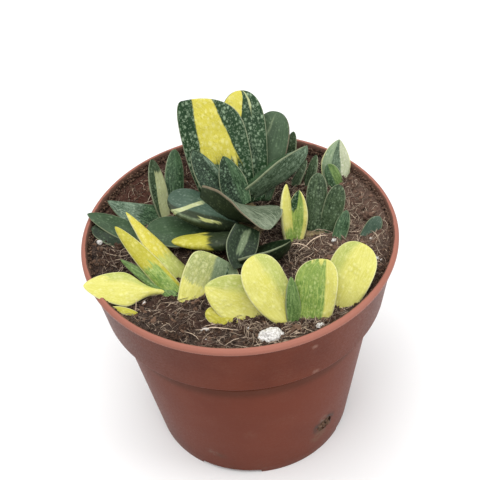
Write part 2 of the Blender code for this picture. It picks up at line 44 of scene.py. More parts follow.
# Pot
# A nursery pot moulded in one piece of terracotta-brown plastic, with a rolled lip, a tall
# collar over a tapered body, four notches in its foot and drain holes in its wall and base.
MM = 0.001
POT_SIDES = 192
POT_WALL = [
    # Radius and height of its rings, from inside the base up over the lip and down to the foot.
    (34.8, 3.4), (36.145, 12.5), (37.622, 22.5), (43.4, 61.6), (47.2, 64.2), (50.3, 84.5),
    (50.5, 86.3), (51.0, 87.0), (51.7, 87.0), (52.5, 86.2), (52.5, 85.0), (51.4, 84.5),
    (48.4, 63.6), (47.8, 62.9), (45.2, 62.6), (44.3, 61.4), (44.3, 58.8), (44.6, 58.3),
    (39.258, 22.5), (37.765, 12.5), (36.497, 4.0), (35.9, 0.0), (33.5, 0.0), (33.3, 2.2),
]
POT_ROUNDING = 0.28
FOOT_NOTCHES = (-107.0, -17.0, 73.0, 163.0)
NOTCH_REACH = 35.9
NOTCH_SIZE = (12.0, 22.0, 3.2)
# The angles of the holes, and their radius, reach and height.
SIDE_HOLES = (-51.0, 69.0, 189.0)
SIDE_HOLE = (3.4, 37.9, 17.5)
BASE_HOLES = (45.0, 135.0, 225.0, 315.0)
BASE_HOLE = (3.8, 21.0, 2.8)
DIRT = (
    # Middle, inner and outer reach, strength and tone of each spot.
    ((24.5, -30.5, 18.0), 3.5, 6.5, 1.0, (60, 46, 38)),
    ((24.0, -31.5, 22.0), 0.6, 3.0, 0.8, (118, 94, 80)),
    ((22.5, -31.0, 11.5), 1.0, 5.5, 0.9, (104, 72, 54)),
    ((-16.2, -34.1, 12.2), 0.4, 3.2, 0.6, (112, 86, 74)),
    ((-13.0, -35.0, 11.0), 0.4, 3.0, 0.5, (78, 58, 46)),
    ((19.8, -46.6, 79.3), 0.3, 1.6, 0.5, (150, 116, 100)),
    ((20.2, -44.2, 64.9), 0.3, 1.8, 0.5, (140, 108, 94)),
    ((-2.6, -40.4, 29.0), 0.5, 4.5, 0.3, (112, 72, 58)),
    ((16.0, 40.0, 20.0), 2.5, 9.0, 0.7, (70, 54, 42)),
    ((-38.0, -6.0, 19.0), 2.5, 8.0, 0.7, (70, 54, 42)),
)


def tone(red, green, blue):
    """Return a paint tone, given in screen values up to 255, as a shader colour."""
    shares = [value / 255.0 for value in (red, green, blue)]
    light = [s / 12.92 if s <= 0.04045 else ((s + 0.055) / 1.055) ** 2.4 for s in shares]
    return (*light, 1.0)


def feed(tree, socket, value):
    """Set an input to a value, or link it to what feeds it."""
    if isinstance(value, bpy.types.NodeSocket):
        tree.links.new(value, socket)
    else:
        socket.default_value = value


def add_node(tree, kind, inputs=None, **settings):
    """Add a shader node with its settings, and feed its inputs."""
    node = tree.nodes.new("ShaderNode" + kind)
    for key, value in settings.items():
        setattr(node, key, value)
    for key, value in (inputs or {}).items():
        feed(tree, node.inputs[key], value)
    return node


def add_group(tree, group, *values):
    """Add a node group, feed its inputs in their order, and return its outputs."""
    node = tree.nodes.new("ShaderNodeGroup")
    node.node_tree = group
    for socket, value in zip(node.inputs, values):
        feed(tree, socket, value)
    return node.outputs


def mixed(tree, share, first, second):
    """Mix two colours by a share."""
    return add_node(tree, "Mix", {0: share, 6: first, 7: second}, data_type="RGBA").outputs[2]


def sums(tree, operation, *values):
    """Put values through one Math node."""
    return add_node(tree, "Math", dict(enumerate(values)), operation=operation).outputs[0]


def times(tree, first, second):
    """Multiply two values."""
    return sums(tree, "MULTIPLY", first, second)


def stretched(tree, place, shares):
    """Stretch a place by a share along each axis."""
    return add_node(tree, "VectorMath", {0: place, 1: shares}, operation="MULTIPLY").outputs[0]


def eased(tree, value, low, high, start=0.0, end=1.0):
    """Ease from start to end as a value goes from low to high."""
    node = add_node(tree, "MapRange", {"Value": value, 1: low, 2: high, 3: start, 4: end},
                    interpolation_type="SMOOTHSTEP")
    return node.outputs[0]


def cloud(tree, place, scale, detail=3.0, rough=0.5, output=0):
    """Read a noise pattern at a place."""
    node = add_node(tree, "TexNoise", {"Vector": place, "Scale": scale, "Detail": detail,
                                       "Roughness": rough})
    return node.outputs[output]


def new_group(name, inputs, outputs):
    """Start a shader node group, and return it with its ends."""
    group = bpy.data.node_groups.new(name, "ShaderNodeTree")
    kinds = {"f": "NodeSocketFloat", "v": "NodeSocketVector", "c": "NodeSocketColor"}
    for way, sockets in (("INPUT", inputs), ("OUTPUT", outputs)):
        for label, kind in sockets:
            group.interface.new_socket(label, in_out=way, socket_type=kinds[kind])
    ends = group.nodes.new("NodeGroupInput").outputs, group.nodes.new("NodeGroupOutput").inputs
    return group, *ends


def new_material(name):
    """Start a material, and return it with its nodes and its shader."""
    material = bpy.data.materials.new(name)
    material.use_nodes = True
    return material, material.node_tree, material.node_tree.nodes["Principled BSDF"]


def object_mm(tree):
    """Return the place on the object in millimetres."""
    place = add_node(tree, "TexCoord").outputs["Object"]
    return add_node(tree, "VectorMath", {0: place, "Scale": 1.0 / MM},
                    operation="SCALE").outputs[0]


def set_look(tree, shader, colour, roughness, specular=0.5):
    """Feed a shader its colour and roughness, and set how much it mirrors."""
    feed(tree, shader.inputs["Base Color"], colour)
    feed(tree, shader.inputs["Roughness"], roughness)
    shader.inputs["Specular IOR Level"].default_value = specular


def add_bump(tree, shader, height, distance, strength):
    """Feed a shader's normal from a height, where a height of one is a distance in metres."""
    bump = add_node(tree, "Bump", {"Height": height, "Distance": distance,
                                   "Strength": strength})
    tree.links.new(bump.outputs[0], shader.inputs["Normal"])


def face_outwards():
    """Turn the faces of the piece that is being edited outwards, and stop editing it."""
    bpy.ops.mesh.select_all(action="SELECT")
    bpy.ops.mesh.normals_make_consistent(inside=False)
    bpy.ops.object.mode_set(mode="OBJECT")


def grow_ring(start, end):
    """Extrude the chosen ring and take it to a new radius and height, in millimetres."""
    bpy.ops.mesh.extrude_edges_move()
    share = end[0] / start[0]
    bpy.ops.transform.resize(value=(share, share, 0.0), center_override=(0, 0, start[1] * MM))
    bpy.ops.transform.translate(value=(0, 0, (end[1] - start[1]) * MM))


def fasten(piece, node):
    """Let a piece ride on the model, in place of its solid if it has one."""
    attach(piece, "root")
    if node:
        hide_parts(node)
    bpy.ops.object.select_all(action="DESELECT")


bpy.ops.mesh.primitive_circle_add(vertices=POT_SIDES, radius=POT_WALL[0][0] * MM,
                                  enter_editmode=True, location=(0, 0, 0))
pot = bpy.context.object
pot.name = "pot_shell"
bpy.ops.transform.translate(value=(0, 0, POT_WALL[0][1] * MM))
bpy.ops.mesh.edge_face_add()
for start, end in zip(POT_WALL, POT_WALL[1:]):
    grow_ring(start, end)
bpy.ops.mesh.edge_face_add()
face_outwards()
rounding = pot.modifiers.new("rounded edges", "BEVEL")
rounding.width = POT_ROUNDING * MM
rounding.segments = 3
rounding.limit_method = "ANGLE"
rounding.angle_limit = math.radians(14.0)


def spot_round(angle, reach, height):
    """Return an angle as a turn, and the place it points to at a reach and height."""
    turn = math.radians(angle)
    return turn, (reach * MM * math.cos(turn), reach * MM * math.sin(turn), height * MM)


cutters = []
for angle in FOOT_NOTCHES:
    turn, middle = spot_round(angle, NOTCH_REACH, 0.0)
    bpy.ops.mesh.primitive_cube_add(size=1.0, location=middle, rotation=(0, 0, turn),
                                    scale=[size * MM for size in NOTCH_SIZE])
    cutters.append(bpy.context.object)
for angle in SIDE_HOLES:
    turn, middle = spot_round(angle, *SIDE_HOLE[1:])
    bpy.ops.mesh.primitive_cylinder_add(vertices=40, radius=SIDE_HOLE[0] * MM, depth=8.0 * MM,
                                        location=middle, rotation=(0, math.pi / 2, turn))
    cutters.append(bpy.context.object)
for angle in BASE_HOLES:
    turn, middle = spot_round(angle, *BASE_HOLE[1:])
    bpy.ops.mesh.primitive_cylinder_add(vertices=40, radius=BASE_HOLE[0] * MM, depth=6.0 * MM,
                                        location=middle)
    cutters.append(bpy.context.object)
for cutter in cutters:
    cut = pot.modifiers.new("cut", "BOOLEAN")
    cut.operation = "DIFFERENCE"
    cut.solver = "EXACT"
    cut.object = cutter
bpy.context.view_layer.objects.active = pot
for modifier in list(pot.modifiers):
    bpy.ops.object.modifier_apply(modifier=modifier.name)
for cutter in cutters:
    bpy.data.objects.remove(cutter, do_unlink=True)
pot.select_set(True)
bpy.ops.object.shade_smooth_by_angle(angle=math.radians(28.0))

# Dust that has settled or been rubbed on: a mask of soft blotches broken by fine grain.
tree, given, result = new_group(
    "settled dust", [("Place", "v"), ("Blotch", "f"), ("Amount", "f")], [("Mask", "f")])
dust_group = tree
blotches = cloud(tree, given["Place"], given["Blotch"], 4.0, 0.6)
grain = cloud(tree, given["Place"], 2.6, 2.0, 0.7)
settled = times(tree, eased(tree, blotches, 0.48, 0.72), eased(tree, grain, 0.42, 0.66))
tree.links.new(times(tree, settled, given["Amount"]), result["Mask"])


def near(tree, place, middle, inner, outer):
    """Return a mask that fades from one to nothing round a point, in millimetres."""
    reach = add_node(tree, "VectorMath", {0: place, 1: middle}, operation="DISTANCE")
    return eased(tree, reach.outputs["Value"], inner, outer, 1.0, 0.0)


plastic, tree, shader = new_material("terracotta plastic")
place = object_mm(tree)
height = add_node(tree, "SeparateXYZ", {0: place}).outputs["Z"]
shade = cloud(tree, place, 0.06, 3.0)
colour = mixed(tree, eased(tree, shade, 0.3, 0.7), tone(88, 35, 15), tone(97, 42, 22))
body = eased(tree, height, 61.8, 63.2, 1.0, 0.0)
colour = mixed(tree, times(tree, body, 0.5), colour, tone(110, 59, 46))
# Painted shade: a dark band on the body just under the collar's overhang, fading downwards.
painted_collar_shade = times(tree, body, eased(tree, height, 51.8, 56.5))
colour = mixed(tree, times(tree, painted_collar_shade, 0.55), colour, tone(66, 36, 22))
lip = eased(tree, height, 84.5, 85.2)
# Painted shadow: a thin dark line on the collar just under the lip.
painted_lip_shadow = times(tree, eased(tree, height, 82.9, 84.2), 0.7)
colour = mixed(tree, painted_lip_shadow, colour, tone(62, 26, 14))
# Painted sheen: the lip gets a much lighter tone than the rest of the plastic, standing in for its
# gloss.
colour = mixed(tree, lip, colour, tone(151, 99, 85))
drawn = stretched(tree, place, (0.25, 0.25, 3.0))
scratches = eased(tree, cloud(tree, drawn, 1.6, 2.0), 0.64, 0.72)
colour = mixed(tree, times(tree, scratches, 0.06), colour, tone(188, 140, 122))
dust = add_group(tree, dust_group, place, 0.09, 0.05)["Mask"]
colour = mixed(tree, dust, colour, tone(168, 142, 126))
worn = cloud(tree, place, 0.5, 3.0, 0.6)
for middle, inner, outer, share, paint in DIRT:
    spot = near(tree, place, middle, inner, outer)
    spot = times(tree, spot, eased(tree, worn, 0.38, 0.56, 0.15, 1.0))
    colour = mixed(tree, times(tree, spot, share), colour, tone(*paint))
# Soil rubbed onto the inside of the collar, told from its sloping outside by the reach.
reach = add_node(tree, "VectorMath", {0: stretched(tree, place, (1.0, 1.0, 0.0))},
                 operation="LENGTH")
depth = sums(tree, "SUBTRACT", reach.outputs["Value"], times(tree, height, 0.149))
depth = sums(tree, "ADD", depth, times(tree, worn, 0.8))
inner = times(tree, eased(tree, height, 70.0, 75.0), eased(tree, depth, 38.3, 38.6, 1.0, 0.0))
colour = mixed(tree, times(tree, inner, 0.9), colour, tone(84, 64, 54))
foot_dirt = times(tree, eased(tree, height, 1.0, 7.0, 0.5, 0.0), eased(tree, worn, 0.45, 0.7))
colour = mixed(tree, foot_dirt, colour, tone(92, 70, 56))
skin = cloud(tree, place, 1.4, 4.0, 0.6)
gloss = sums(tree, "SUBTRACT", eased(tree, skin, 0.3, 0.7, 0.32, 0.44), times(tree, lip, 0.08))
set_look(tree, shader, colour, gloss, 0.05)
relief = sums(tree, "ADD", times(tree, skin, 0.5), cloud(tree, place, 0.16, 2.0))
add_bump(tree, shader, relief, 0.0001, 0.35)
pot.data.materials.append(plastic)
fasten(pot, "pot")

# Soil
# Peat and coir, pressed in by hand to a few millimetres under the rim and higher along the
# wall. It is one body that fills the pot, with crumbs, clods and fine fibres loose on top.
SOIL_RADIUS = 49.9
SOIL_TOP = 80.6
SOIL_DISH = (39.0, 3.4)
SOIL_CELLS = 230
DRY_SIDE = (42.0, 8.0, 80.0)
DRY_TONE = (136, 108, 94)
SOIL_WALL = [(46.9, 64.5), (43.1, 61.9), (34.5, 3.7)]
HEAPS = [
    # Middle across and deep, widths across and deep, and height.
    (-12.5, -26.5, 3.6, 2.6, 2.0), (-24.0, -36.0, 9.0, 7.0, 1.3), (-24.5, -15.5, 4.5, 3.0, 1.3),
    (31.0, -16.0, 8.0, 5.0, 1.0), (26.0, -34.0, 2.4, 1.8, 1.6), (18.0, -36.0, 2.2, 1.6, 1.2),
    (40.0, 16.0, 6.0, 7.0, 1.0), (-38.0, -8.0, 6.0, 5.0, 1.1), (-33.0, 30.0, 9.0, 6.0, 0.8),
    (28.0, 30.0, 9.0, 6.0, 0.9),
]


def soil_height(x, y):
    """Return the height of the soil's surface at a place, in millimetres."""
    point = Vector((x, y, 0.0))
    rise = 1.1 * noise.noise(point / 13.0) + 0.7 * noise.noise(point / 5.0 + Vector((9, 4, 2)))
    rise += 0.55 * noise.noise(point / 2.2) + 0.35 * noise.noise(point / 0.9)
    for left, front, wide, deep, high in HEAPS:
        far = ((x - left) / wide) ** 2 + ((y - front) / deep) ** 2
        rise += high * math.exp(-far) if far < 9.0 else 0.0
    flat, high = SOIL_DISH
    out = math.hypot(x, y) + 2.0 * noise.noise(point / 9.0)
    edge = min(1.0, max(0.0, (out - flat) / (SOIL_RADIUS - flat)))
    return SOIL_TOP + rise * (1.0 - 0.5 * edge) + high * edge ** 1.2


bpy.ops.mesh.primitive_grid_add(x_subdivisions=SOIL_CELLS, y_subdivisions=SOIL_CELLS,
                                size=2.0, location=(0, 0, 0))
soil = bpy.context.object
soil.name = "soil_body"
for vert in soil.data.vertices:
    x, y, _ = vert.co
    across = SOIL_RADIUS * x * math.sqrt(1.0 - y * y / 2.0)
    deep = SOIL_RADIUS * y * math.sqrt(1.0 - x * x / 2.0)
    vert.co = Vector((across, deep, soil_height(across, deep))) * MM
bpy.ops.object.mode_set(mode="EDIT")
bpy.ops.mesh.select_all(action="DESELECT")
bpy.ops.mesh.select_non_manifold()
ring = (SOIL_RADIUS, SOIL_TOP + SOIL_DISH[1])
for step in SOIL_WALL:
    bpy.ops.mesh.extrude_edges_move()
    share = step[0] / ring[0]
    bpy.ops.transform.resize(value=(share, share, 0.0), center_override=(0, 0, step[1] * MM))
    ring = step
bpy.ops.mesh.edge_face_add()
face_outwards()
bpy.ops.object.shade_smooth_by_angle(angle=math.radians(60.0))

peat, tree, shader = new_material("peat")
place = object_mm(tree)
coarse = cloud(tree, place, 0.10, 4.0, 0.6)
crumb = cloud(tree, place, 0.75, 5.0, 0.72)
fine = cloud(tree, place, 2.6, 3.0, 0.7)
colour = mixed(tree, eased(tree, crumb, 0.36, 0.64), tone(22, 17, 15), tone(80, 66, 58))
colour = mixed(tree, eased(tree, fine, 0.56, 0.70, 0.0, 0.8), colour, tone(150, 128, 110))
colour = mixed(tree, eased(tree, coarse, 0.40, 0.62, 0.0, 0.5), colour, tone(74, 50, 40))
for middle, inner, outer, share, paint in (
        (DRY_SIDE, 8.0, 30.0, 0.45, DRY_TONE),
        ((-30.0, 25.0, 80.0), 6.0, 26.0, 0.35, (104, 58, 44)),
        ((-13.3, -43.6, 80.5), 1.2, 3.6, 0.7, (128, 92, 78))):
    patch = near(tree, place, middle, inner, outer)
    colour = mixed(tree, times(tree, patch, share), colour, tone(*paint))
set_look(tree, shader, colour, 0.95, 0.15)
relief = sums(tree, "ADD", times(tree, crumb, 1.6), fine)
add_bump(tree, shader, relief, 0.0007, 0.9)
soil.data.materials.append(peat)
fasten(soil, "soil")

# Crumbs and clods of the same peat: one rough lump, copied at many sizes and turns. Small ones
# are pressed up against the wall and fill the front drain hole.
LUMP_KINDS = (
    # Count, fineness of the lump, smallest and largest size, rarity of large ones, and reach.
    (3400, 1, 0.22, 0.95, 2.6, 48.9), (90, 3, 0.9, 2.1, 2.0, 47.5),
)
LUMP_SPANS = (0.7, 1.4), (0.6, 1.1), (0.5, 0.9)
CRUMB_SPANS = (0.7, 1.3), (0.6, 1.0), (0.6, 1.0)
HOLE_CRUMBS = 90
HOLE_SPREAD = (-2.9, 2.9)
WALL_CRUMBS = 2600
# Radius and height at which those on the wall begin, and how far out and up they go.
WALL_START = (49.4, 83.9)
WALL_CLIMB = (1.0, 2.1)
litter, tree, shader = new_material("loose peat")
shade = add_node(tree, "Attribute", attribute_name="shade").outputs["Fac"]
place = object_mm(tree)
grain = cloud(tree, place, 2.2, 4.0, 0.7)
colour = mixed(tree, shade, tone(30, 22, 18), tone(116, 92, 76))
colour = mixed(tree, eased(tree, grain, 0.45, 0.62, 0.0, 0.5), colour, tone(112, 84, 66))
dry = times(tree, near(tree, place, DRY_SIDE, 8.0, 30.0), 0.35)
colour = mixed(tree, dry, colour, tone(*DRY_TONE))
set_look(tree, shader, colour, 0.95, 0.15)
add_bump(tree, shader, grain, 0.0004, 0.8)


def loose_mesh(name, lumps, material):
    """Make a piece of many loose closed bodies, each given as points, faces and a shade."""
    points, faces, shades, first = [], [], [], 0
    for body, sides, shade in lumps:
        points.append(body)
        faces.extend([tuple(first + k for k in side) for side in sides])
        shades.extend([shade] * len(body))
        first += len(body)
    mesh = bpy.data.meshes.new(name)
    mesh.from_pydata((np.concatenate(points) * MM).tolist(), [], faces)
    mesh.attributes.new("shade", "FLOAT", "POINT").data.foreach_set("value", shades)
    mesh.materials.append(material)
    piece = bpy.data.objects.new(name, mesh)
    bpy.context.scene.collection.objects.link(piece)
    fasten(piece, None)


def lump_points(subdivisions):
    """Add a ball, keep its points and faces, and take the ball away again."""
    bpy.ops.mesh.primitive_ico_sphere_add(subdivisions=subdivisions, radius=1.0)
    ball = bpy.context.object
    points = np.array([vert.co for vert in ball.data.vertices])
    faces = [tuple(face.vertices) for face in ball.data.polygons]
    bpy.data.objects.remove(ball, do_unlink=True)
    return points, faces


def in_pot(draw, reach):
    """Draw a place on the soil within a radius, in millimetres."""
    angle, radius = draw.uniform(0, 2 * math.pi), reach * math.sqrt(draw.random())
    return radius * math.cos(angle), radius * math.sin(angle)


def tumble(draw):
    """Draw a turn about the upright axis after a roll, as a matrix."""
    return np.array(Matrix.Rotation(draw.uniform(0, 6.28), 3, "Z")
                    @ Matrix.Rotation(draw.uniform(0, 6.28), 3, "X"))


def roughened(draw, points, depth, scale):
    """Push the points of a lump in and out by a noise that is drawn for it."""
    shift = Vector((draw.uniform(0, 99), draw.uniform(0, 99), 0.0))
    shares = [1.0 + depth * noise.noise(Vector(p) * scale + shift) for p in points]
    return points * np.array(shares)[:, None]


def draw_shape(draw, *spans):
    """Draw a stretch along each axis from its span."""
    return np.array([draw.uniform(*span) for span in spans])


draw = random.Random(11)
lumps = []
for count, fineness, smallest, largest, rarity, reach in LUMP_KINDS:
    points, faces = lump_points(fineness)
    for _ in range(count):
        x, y = in_pot(draw, reach)
        size = smallest + (largest - smallest) * draw.random() ** rarity
        turn = tumble(draw)
        body = roughened(draw, points, 0.7, 1.7)
        body = (body * draw_shape(draw, *LUMP_SPANS) * size) @ turn.T
        body += (x, y, soil_height(x, y) + 0.15 * size)
        lumps.append((body, faces, draw.random() ** 2.2))
points, faces = lump_points(1)
for _ in range(WALL_CRUMBS):
    angle, climb = draw.uniform(0, 2 * math.pi), draw.random()
    radius, height = (start + far * climb for start, far in zip(WALL_START, WALL_CLIMB))
    radius, size = radius + draw.uniform(-0.2, 0.1), draw.uniform(0.2, 0.5)
    turn = tumble(draw)
    body = (points * draw_shape(draw, *CRUMB_SPANS) * size) @ turn.T
    body += (radius * math.cos(angle), radius * math.sin(angle), height)
    lumps.append((body, faces, draw.random() ** 2.2))
# The crumbs in the front drain hole get only light tones, painted light against the shadow in the
# hole.
turn = math.radians(SIDE_HOLES[0])
for _ in range(HOLE_CRUMBS):
    size, aside, rise = draw_shape(draw, (0.3, 0.8), HOLE_SPREAD, HOLE_SPREAD)
    deep = 37.2 + 0.8 * draw.random()
    body = points * draw_shape(draw, *CRUMB_SPANS) * size
    body += (deep * math.cos(turn) - aside * math.sin(turn),
             deep * math.sin(turn) + aside * math.cos(turn), SIDE_HOLE[2] + rise)
    lumps.append((body, faces, draw.uniform(0.5, 1.0)))
loose_mesh("soil_crumbs", lumps, litter)

# Fibres of coir and dead root: thin tapering threads that lie on the soil and dip into it.
FIBRES = 7000
FIBRE_REACH = 48.8
WALL_REACH = 49.4
THREAD_SIDES = 3
THREAD_STEPS = 4
STRANDS = (
    # Start, middle, end and thickness of single long strands.
    ((14.8, 3.3), (15.8, -4.0), (15.7, -11.3), 0.22),
    ((16.5, -3.3), (20.0, -3.4), (23.0, -5.1), 0.20),
    ((18.9, -6.0), (25.0, -2.0), (29.6, -0.1), 0.18),
    ((-16.0, -37.0), (-9.0, -39.5), (-3.0, -38.5), 0.14),
    ((-36.0, -14.0), (-33.5, -22.0), (-34.5, -29.0), 0.15),
)
fibre, tree, shader = new_material("coir fibre")
shade = add_node(tree, "Attribute", attribute_name="shade").outputs["Fac"]
colour = mixed(tree, shade, tone(56, 42, 36), tone(206, 184, 160))
thread = cloud(tree, object_mm(tree), 1.2, 2.0)
colour = mixed(tree, eased(tree, thread, 0.4, 0.65, 0.0, 0.35), colour, tone(104, 82, 68))
set_look(tree, shader, colour, 0.7, 0.3)


def thread_body(line, thick):
    """Return the points and faces of a thin closed tube along a line, in millimetres."""
    line = np.array(line, float)
    count = len(line)
    ahead = np.gradient(line, axis=0)
    ahead /= np.linalg.norm(ahead, axis=1)[:, None] + 1e-9
    side = np.cross(ahead, (0.0, 0.0, 1.0))
    side /= np.linalg.norm(side, axis=1)[:, None] + 1e-9
    top = np.cross(side, ahead)
    share = np.sin(np.pi * (0.12 + 0.76 * np.linspace(0, 1, count))) * thick
    body = []
    for k in range(THREAD_SIDES):
        angle = 2 * math.pi * k / THREAD_SIDES
        body.append(line + share[:, None] * (math.cos(angle) * side + math.sin(angle) * top))
    body = np.stack(body, axis=1).reshape(-1, 3)
    faces = []
    for row in range(count - 1):
        for k in range(THREAD_SIDES):
            a, b = row * THREAD_SIDES + k, row * THREAD_SIDES + (k + 1) % THREAD_SIDES
            faces.append((a, b, b + THREAD_SIDES, a + THREAD_SIDES))
    faces.append(tuple(reversed(range(THREAD_SIDES))))
    faces.append(tuple(range((count - 1) * THREAD_SIDES, count * THREAD_SIDES)))
    return body, faces


threads = []
draw = random.Random(23)
for number in range(FIBRES):
    x, y = in_pot(draw, FIBRE_REACH)
    x = abs(x) if number % 4 == 0 else x
    length = 1.2 + 7.5 * draw.random() ** 2.4
    heading, curl = draw.uniform(0, 2 * math.pi), draw.uniform(-1.6, 1.6)
    lift = draw.uniform(-0.1, 0.3) + draw.random() ** 4 * 1.1
    line = []
    for k in range(THREAD_STEPS + 1):
        share = k / THREAD_STEPS
        z = soil_height(x, y) + 0.10 + lift * math.sin(math.pi * share)
        line.append((x, y, z))
        angle = heading + curl * (share - 0.5)
        x += length / THREAD_STEPS * math.cos(angle)
        y += length / THREAD_STEPS * math.sin(angle)
    if max(math.hypot(p[0], p[1]) for p in line) < WALL_REACH:
        body, faces = thread_body(line, draw.uniform(0.05, 0.13))
        threads.append((body, faces, draw.random() ** (1.3 if line[0][0] > -5.0 else 2.2)))
for start, middle, end, thick in STRANDS:
    line = []
    for share in np.linspace(0.0, 1.0, 9):
        x, y = ((1 - share) ** 2 * a + 2 * share * (1 - share) * b + share ** 2 * c
                for a, b, c in zip(start, middle, end))
        line.append((x, y, soil_height(x, y) + 0.3 + 1.6 * math.sin(math.pi * share)))
    threads.append((*thread_body(line, thick), 1.0))
loose_mesh("soil_fibres", threads, fibre)

# Mother rosette
# The old plant: stiff, tongue-shaped leaves in two ranks that have begun to spiral. The green
# ones are dark and thickly set with pale spots, and three carry cream or yellow bands.
FOOT_ROUNDING = 0.04
TIP_THINNING = 0.35
MARGIN_FULLNESS = 0.8
RIPPLE = 0.35
# How far apart the unbent leaves lie, so that no two share a pattern.
SEED_ASIDE = 40.0
SEED_ALONG = 23.0
LONG_LEAF = 22.0
LONG_LEAF_MESH = (56, 76)
SHORT_LEAF_MESH = (40, 52)

# Each flesh: the tones of its ground, streaks and spots, the gap between spots in millimetres,
# their size as a share of it, how many there are, their softness, and the streaks' strength.
FLESH = {
    "spotted": ((22, 48, 24), (38, 68, 36), (124, 144, 116), 1.35, 0.28, 0.72, 0.15, 0.4),
    "young": ((16, 32, 20), (42, 64, 42), (100, 122, 98), 1.0, 0.27, 0.62, 0.16, 0.7),
    "lined": ((28, 52, 28), (78, 106, 74), (104, 128, 96), 1.1, 0.22, 0.45, 0.16, 0.9),
    "striped": ((46, 66, 46), (112, 132, 112), (124, 142, 120), 1.1, 0.26, 0.6, 0.18, 1.0),
    "shaded": ((44, 64, 42), (102, 122, 98), (122, 142, 118), 1.0, 0.25, 0.65, 0.17, 0.9),
    "deep": ((18, 34, 16), (32, 48, 26), (64, 82, 56), 1.2, 0.22, 0.5, 0.17, 0.5),
    "dusky": ((34, 50, 30), (72, 90, 62), (104, 122, 94), 1.0, 0.26, 0.6, 0.2, 0.8),
    "dull": ((46, 66, 42), (66, 88, 60), (86, 106, 78), 1.3, 0.2, 0.35, 0.17, 0.5),
    "greyed": ((58, 72, 52), (132, 142, 120), (126, 136, 116), 0.9, 0.22, 0.5, 0.14, 1.0),
    "slate": ((54, 74, 60), (76, 94, 80), (96, 112, 98), 1.4, 0.18, 0.35, 0.15, 0.6),
    "olive": ((28, 38, 22), (48, 58, 36), (74, 84, 60), 1.6, 0.18, 0.3, 0.15, 0.5),
    "grassy": ((96, 126, 54), (150, 168, 86), (158, 174, 104), 1.1, 0.26, 0.5, 0.22, 0.9),
    "leafy": ((60, 88, 38), (112, 138, 78), (126, 148, 92), 1.0, 0.26, 0.5, 0.2, 1.0),
    "yellow": ((184, 174, 58), (192, 184, 84), (202, 196, 116), 1.4, 0.33, 0.6, 0.3, 0.6),
    "golden": ((160, 154, 42), (174, 168, 68), (188, 182, 96), 1.3, 0.3, 0.55, 0.3, 0.7),
    "lemon": ((188, 184, 88), (202, 198, 114), (206, 203, 128), 1.2, 0.28, 0.55, 0.3, 0.9),
    "cream": ((158, 165, 118), (170, 176, 132), (176, 182, 146), 1.3, 0.25, 0.4, 0.2, 0.8),
    "ivory": ((178, 182, 154), (152, 162, 126), (194, 196, 174), 1.0, 0.25, 0.5, 0.2, 0.9),
    "mint": ((106, 128, 96), (140, 156, 124), (150, 164, 136), 1.0, 0.25, 0.5, 0.2, 0.9),
    "pale": ((136, 144, 86), (172, 174, 106), (184, 186, 132), 1.3, 0.3, 0.55, 0.25, 0.8),
    "sage": ((92, 108, 78), (112, 126, 94), (130, 142, 112), 1.2, 0.25, 0.5, 0.2, 0.8),
    "greenish": ((158, 166, 84), (178, 182, 104), (192, 194, 128), 1.3, 0.3, 0.5, 0.3, 0.9),
}
BAND_EDGE = 0.025
# Bands with softer edges than that.
BAND_EDGES = {"greenish": 0.22, "lined": 0.15, "striped": 0.12, "mint": 0.1, "sage": 0.08,
              "olive": 0.08, "grassy": 0.06, "shaded": 0.06}
# A flesh whose ground has more red than this makes a yellow leaf with a cream margin.
YELLOW_RED = 120
PALE_MARGIN = (126, 134, 106)
PINK_MARGIN = (112, 100, 82)
CREAM_MARGIN = (204, 202, 146)
# Width of a leaf's two margins together, from where they begin and from where they are full.
MARGIN_REACH = (0.85, 0.3)
# What a leaf is like where its row doesn't say otherwise. It is broadest at the share wide of
# its length and has the share foot of that width at its base. A neck keeps its foot narrow for
# longer, and full and blunt round it off towards the tip. A keel runs under it and a channel
# over it; bow, sweep, skew and twist bend it; rim is how strong its margin is. Each band is a
# flesh, its middle at base and tip, its half width at base and tip, and its start and end.
PLAIN_LEAF = dict(
    wide=0.5, foot=0.7, full=2.2, blunt=1.8, neck=1, keel=0.4, channel=0.0, bow=0.0, sweep=0.0,
    skew=0.0, twist=0.0, rim=0.9, under=None, straight=False, bands=())

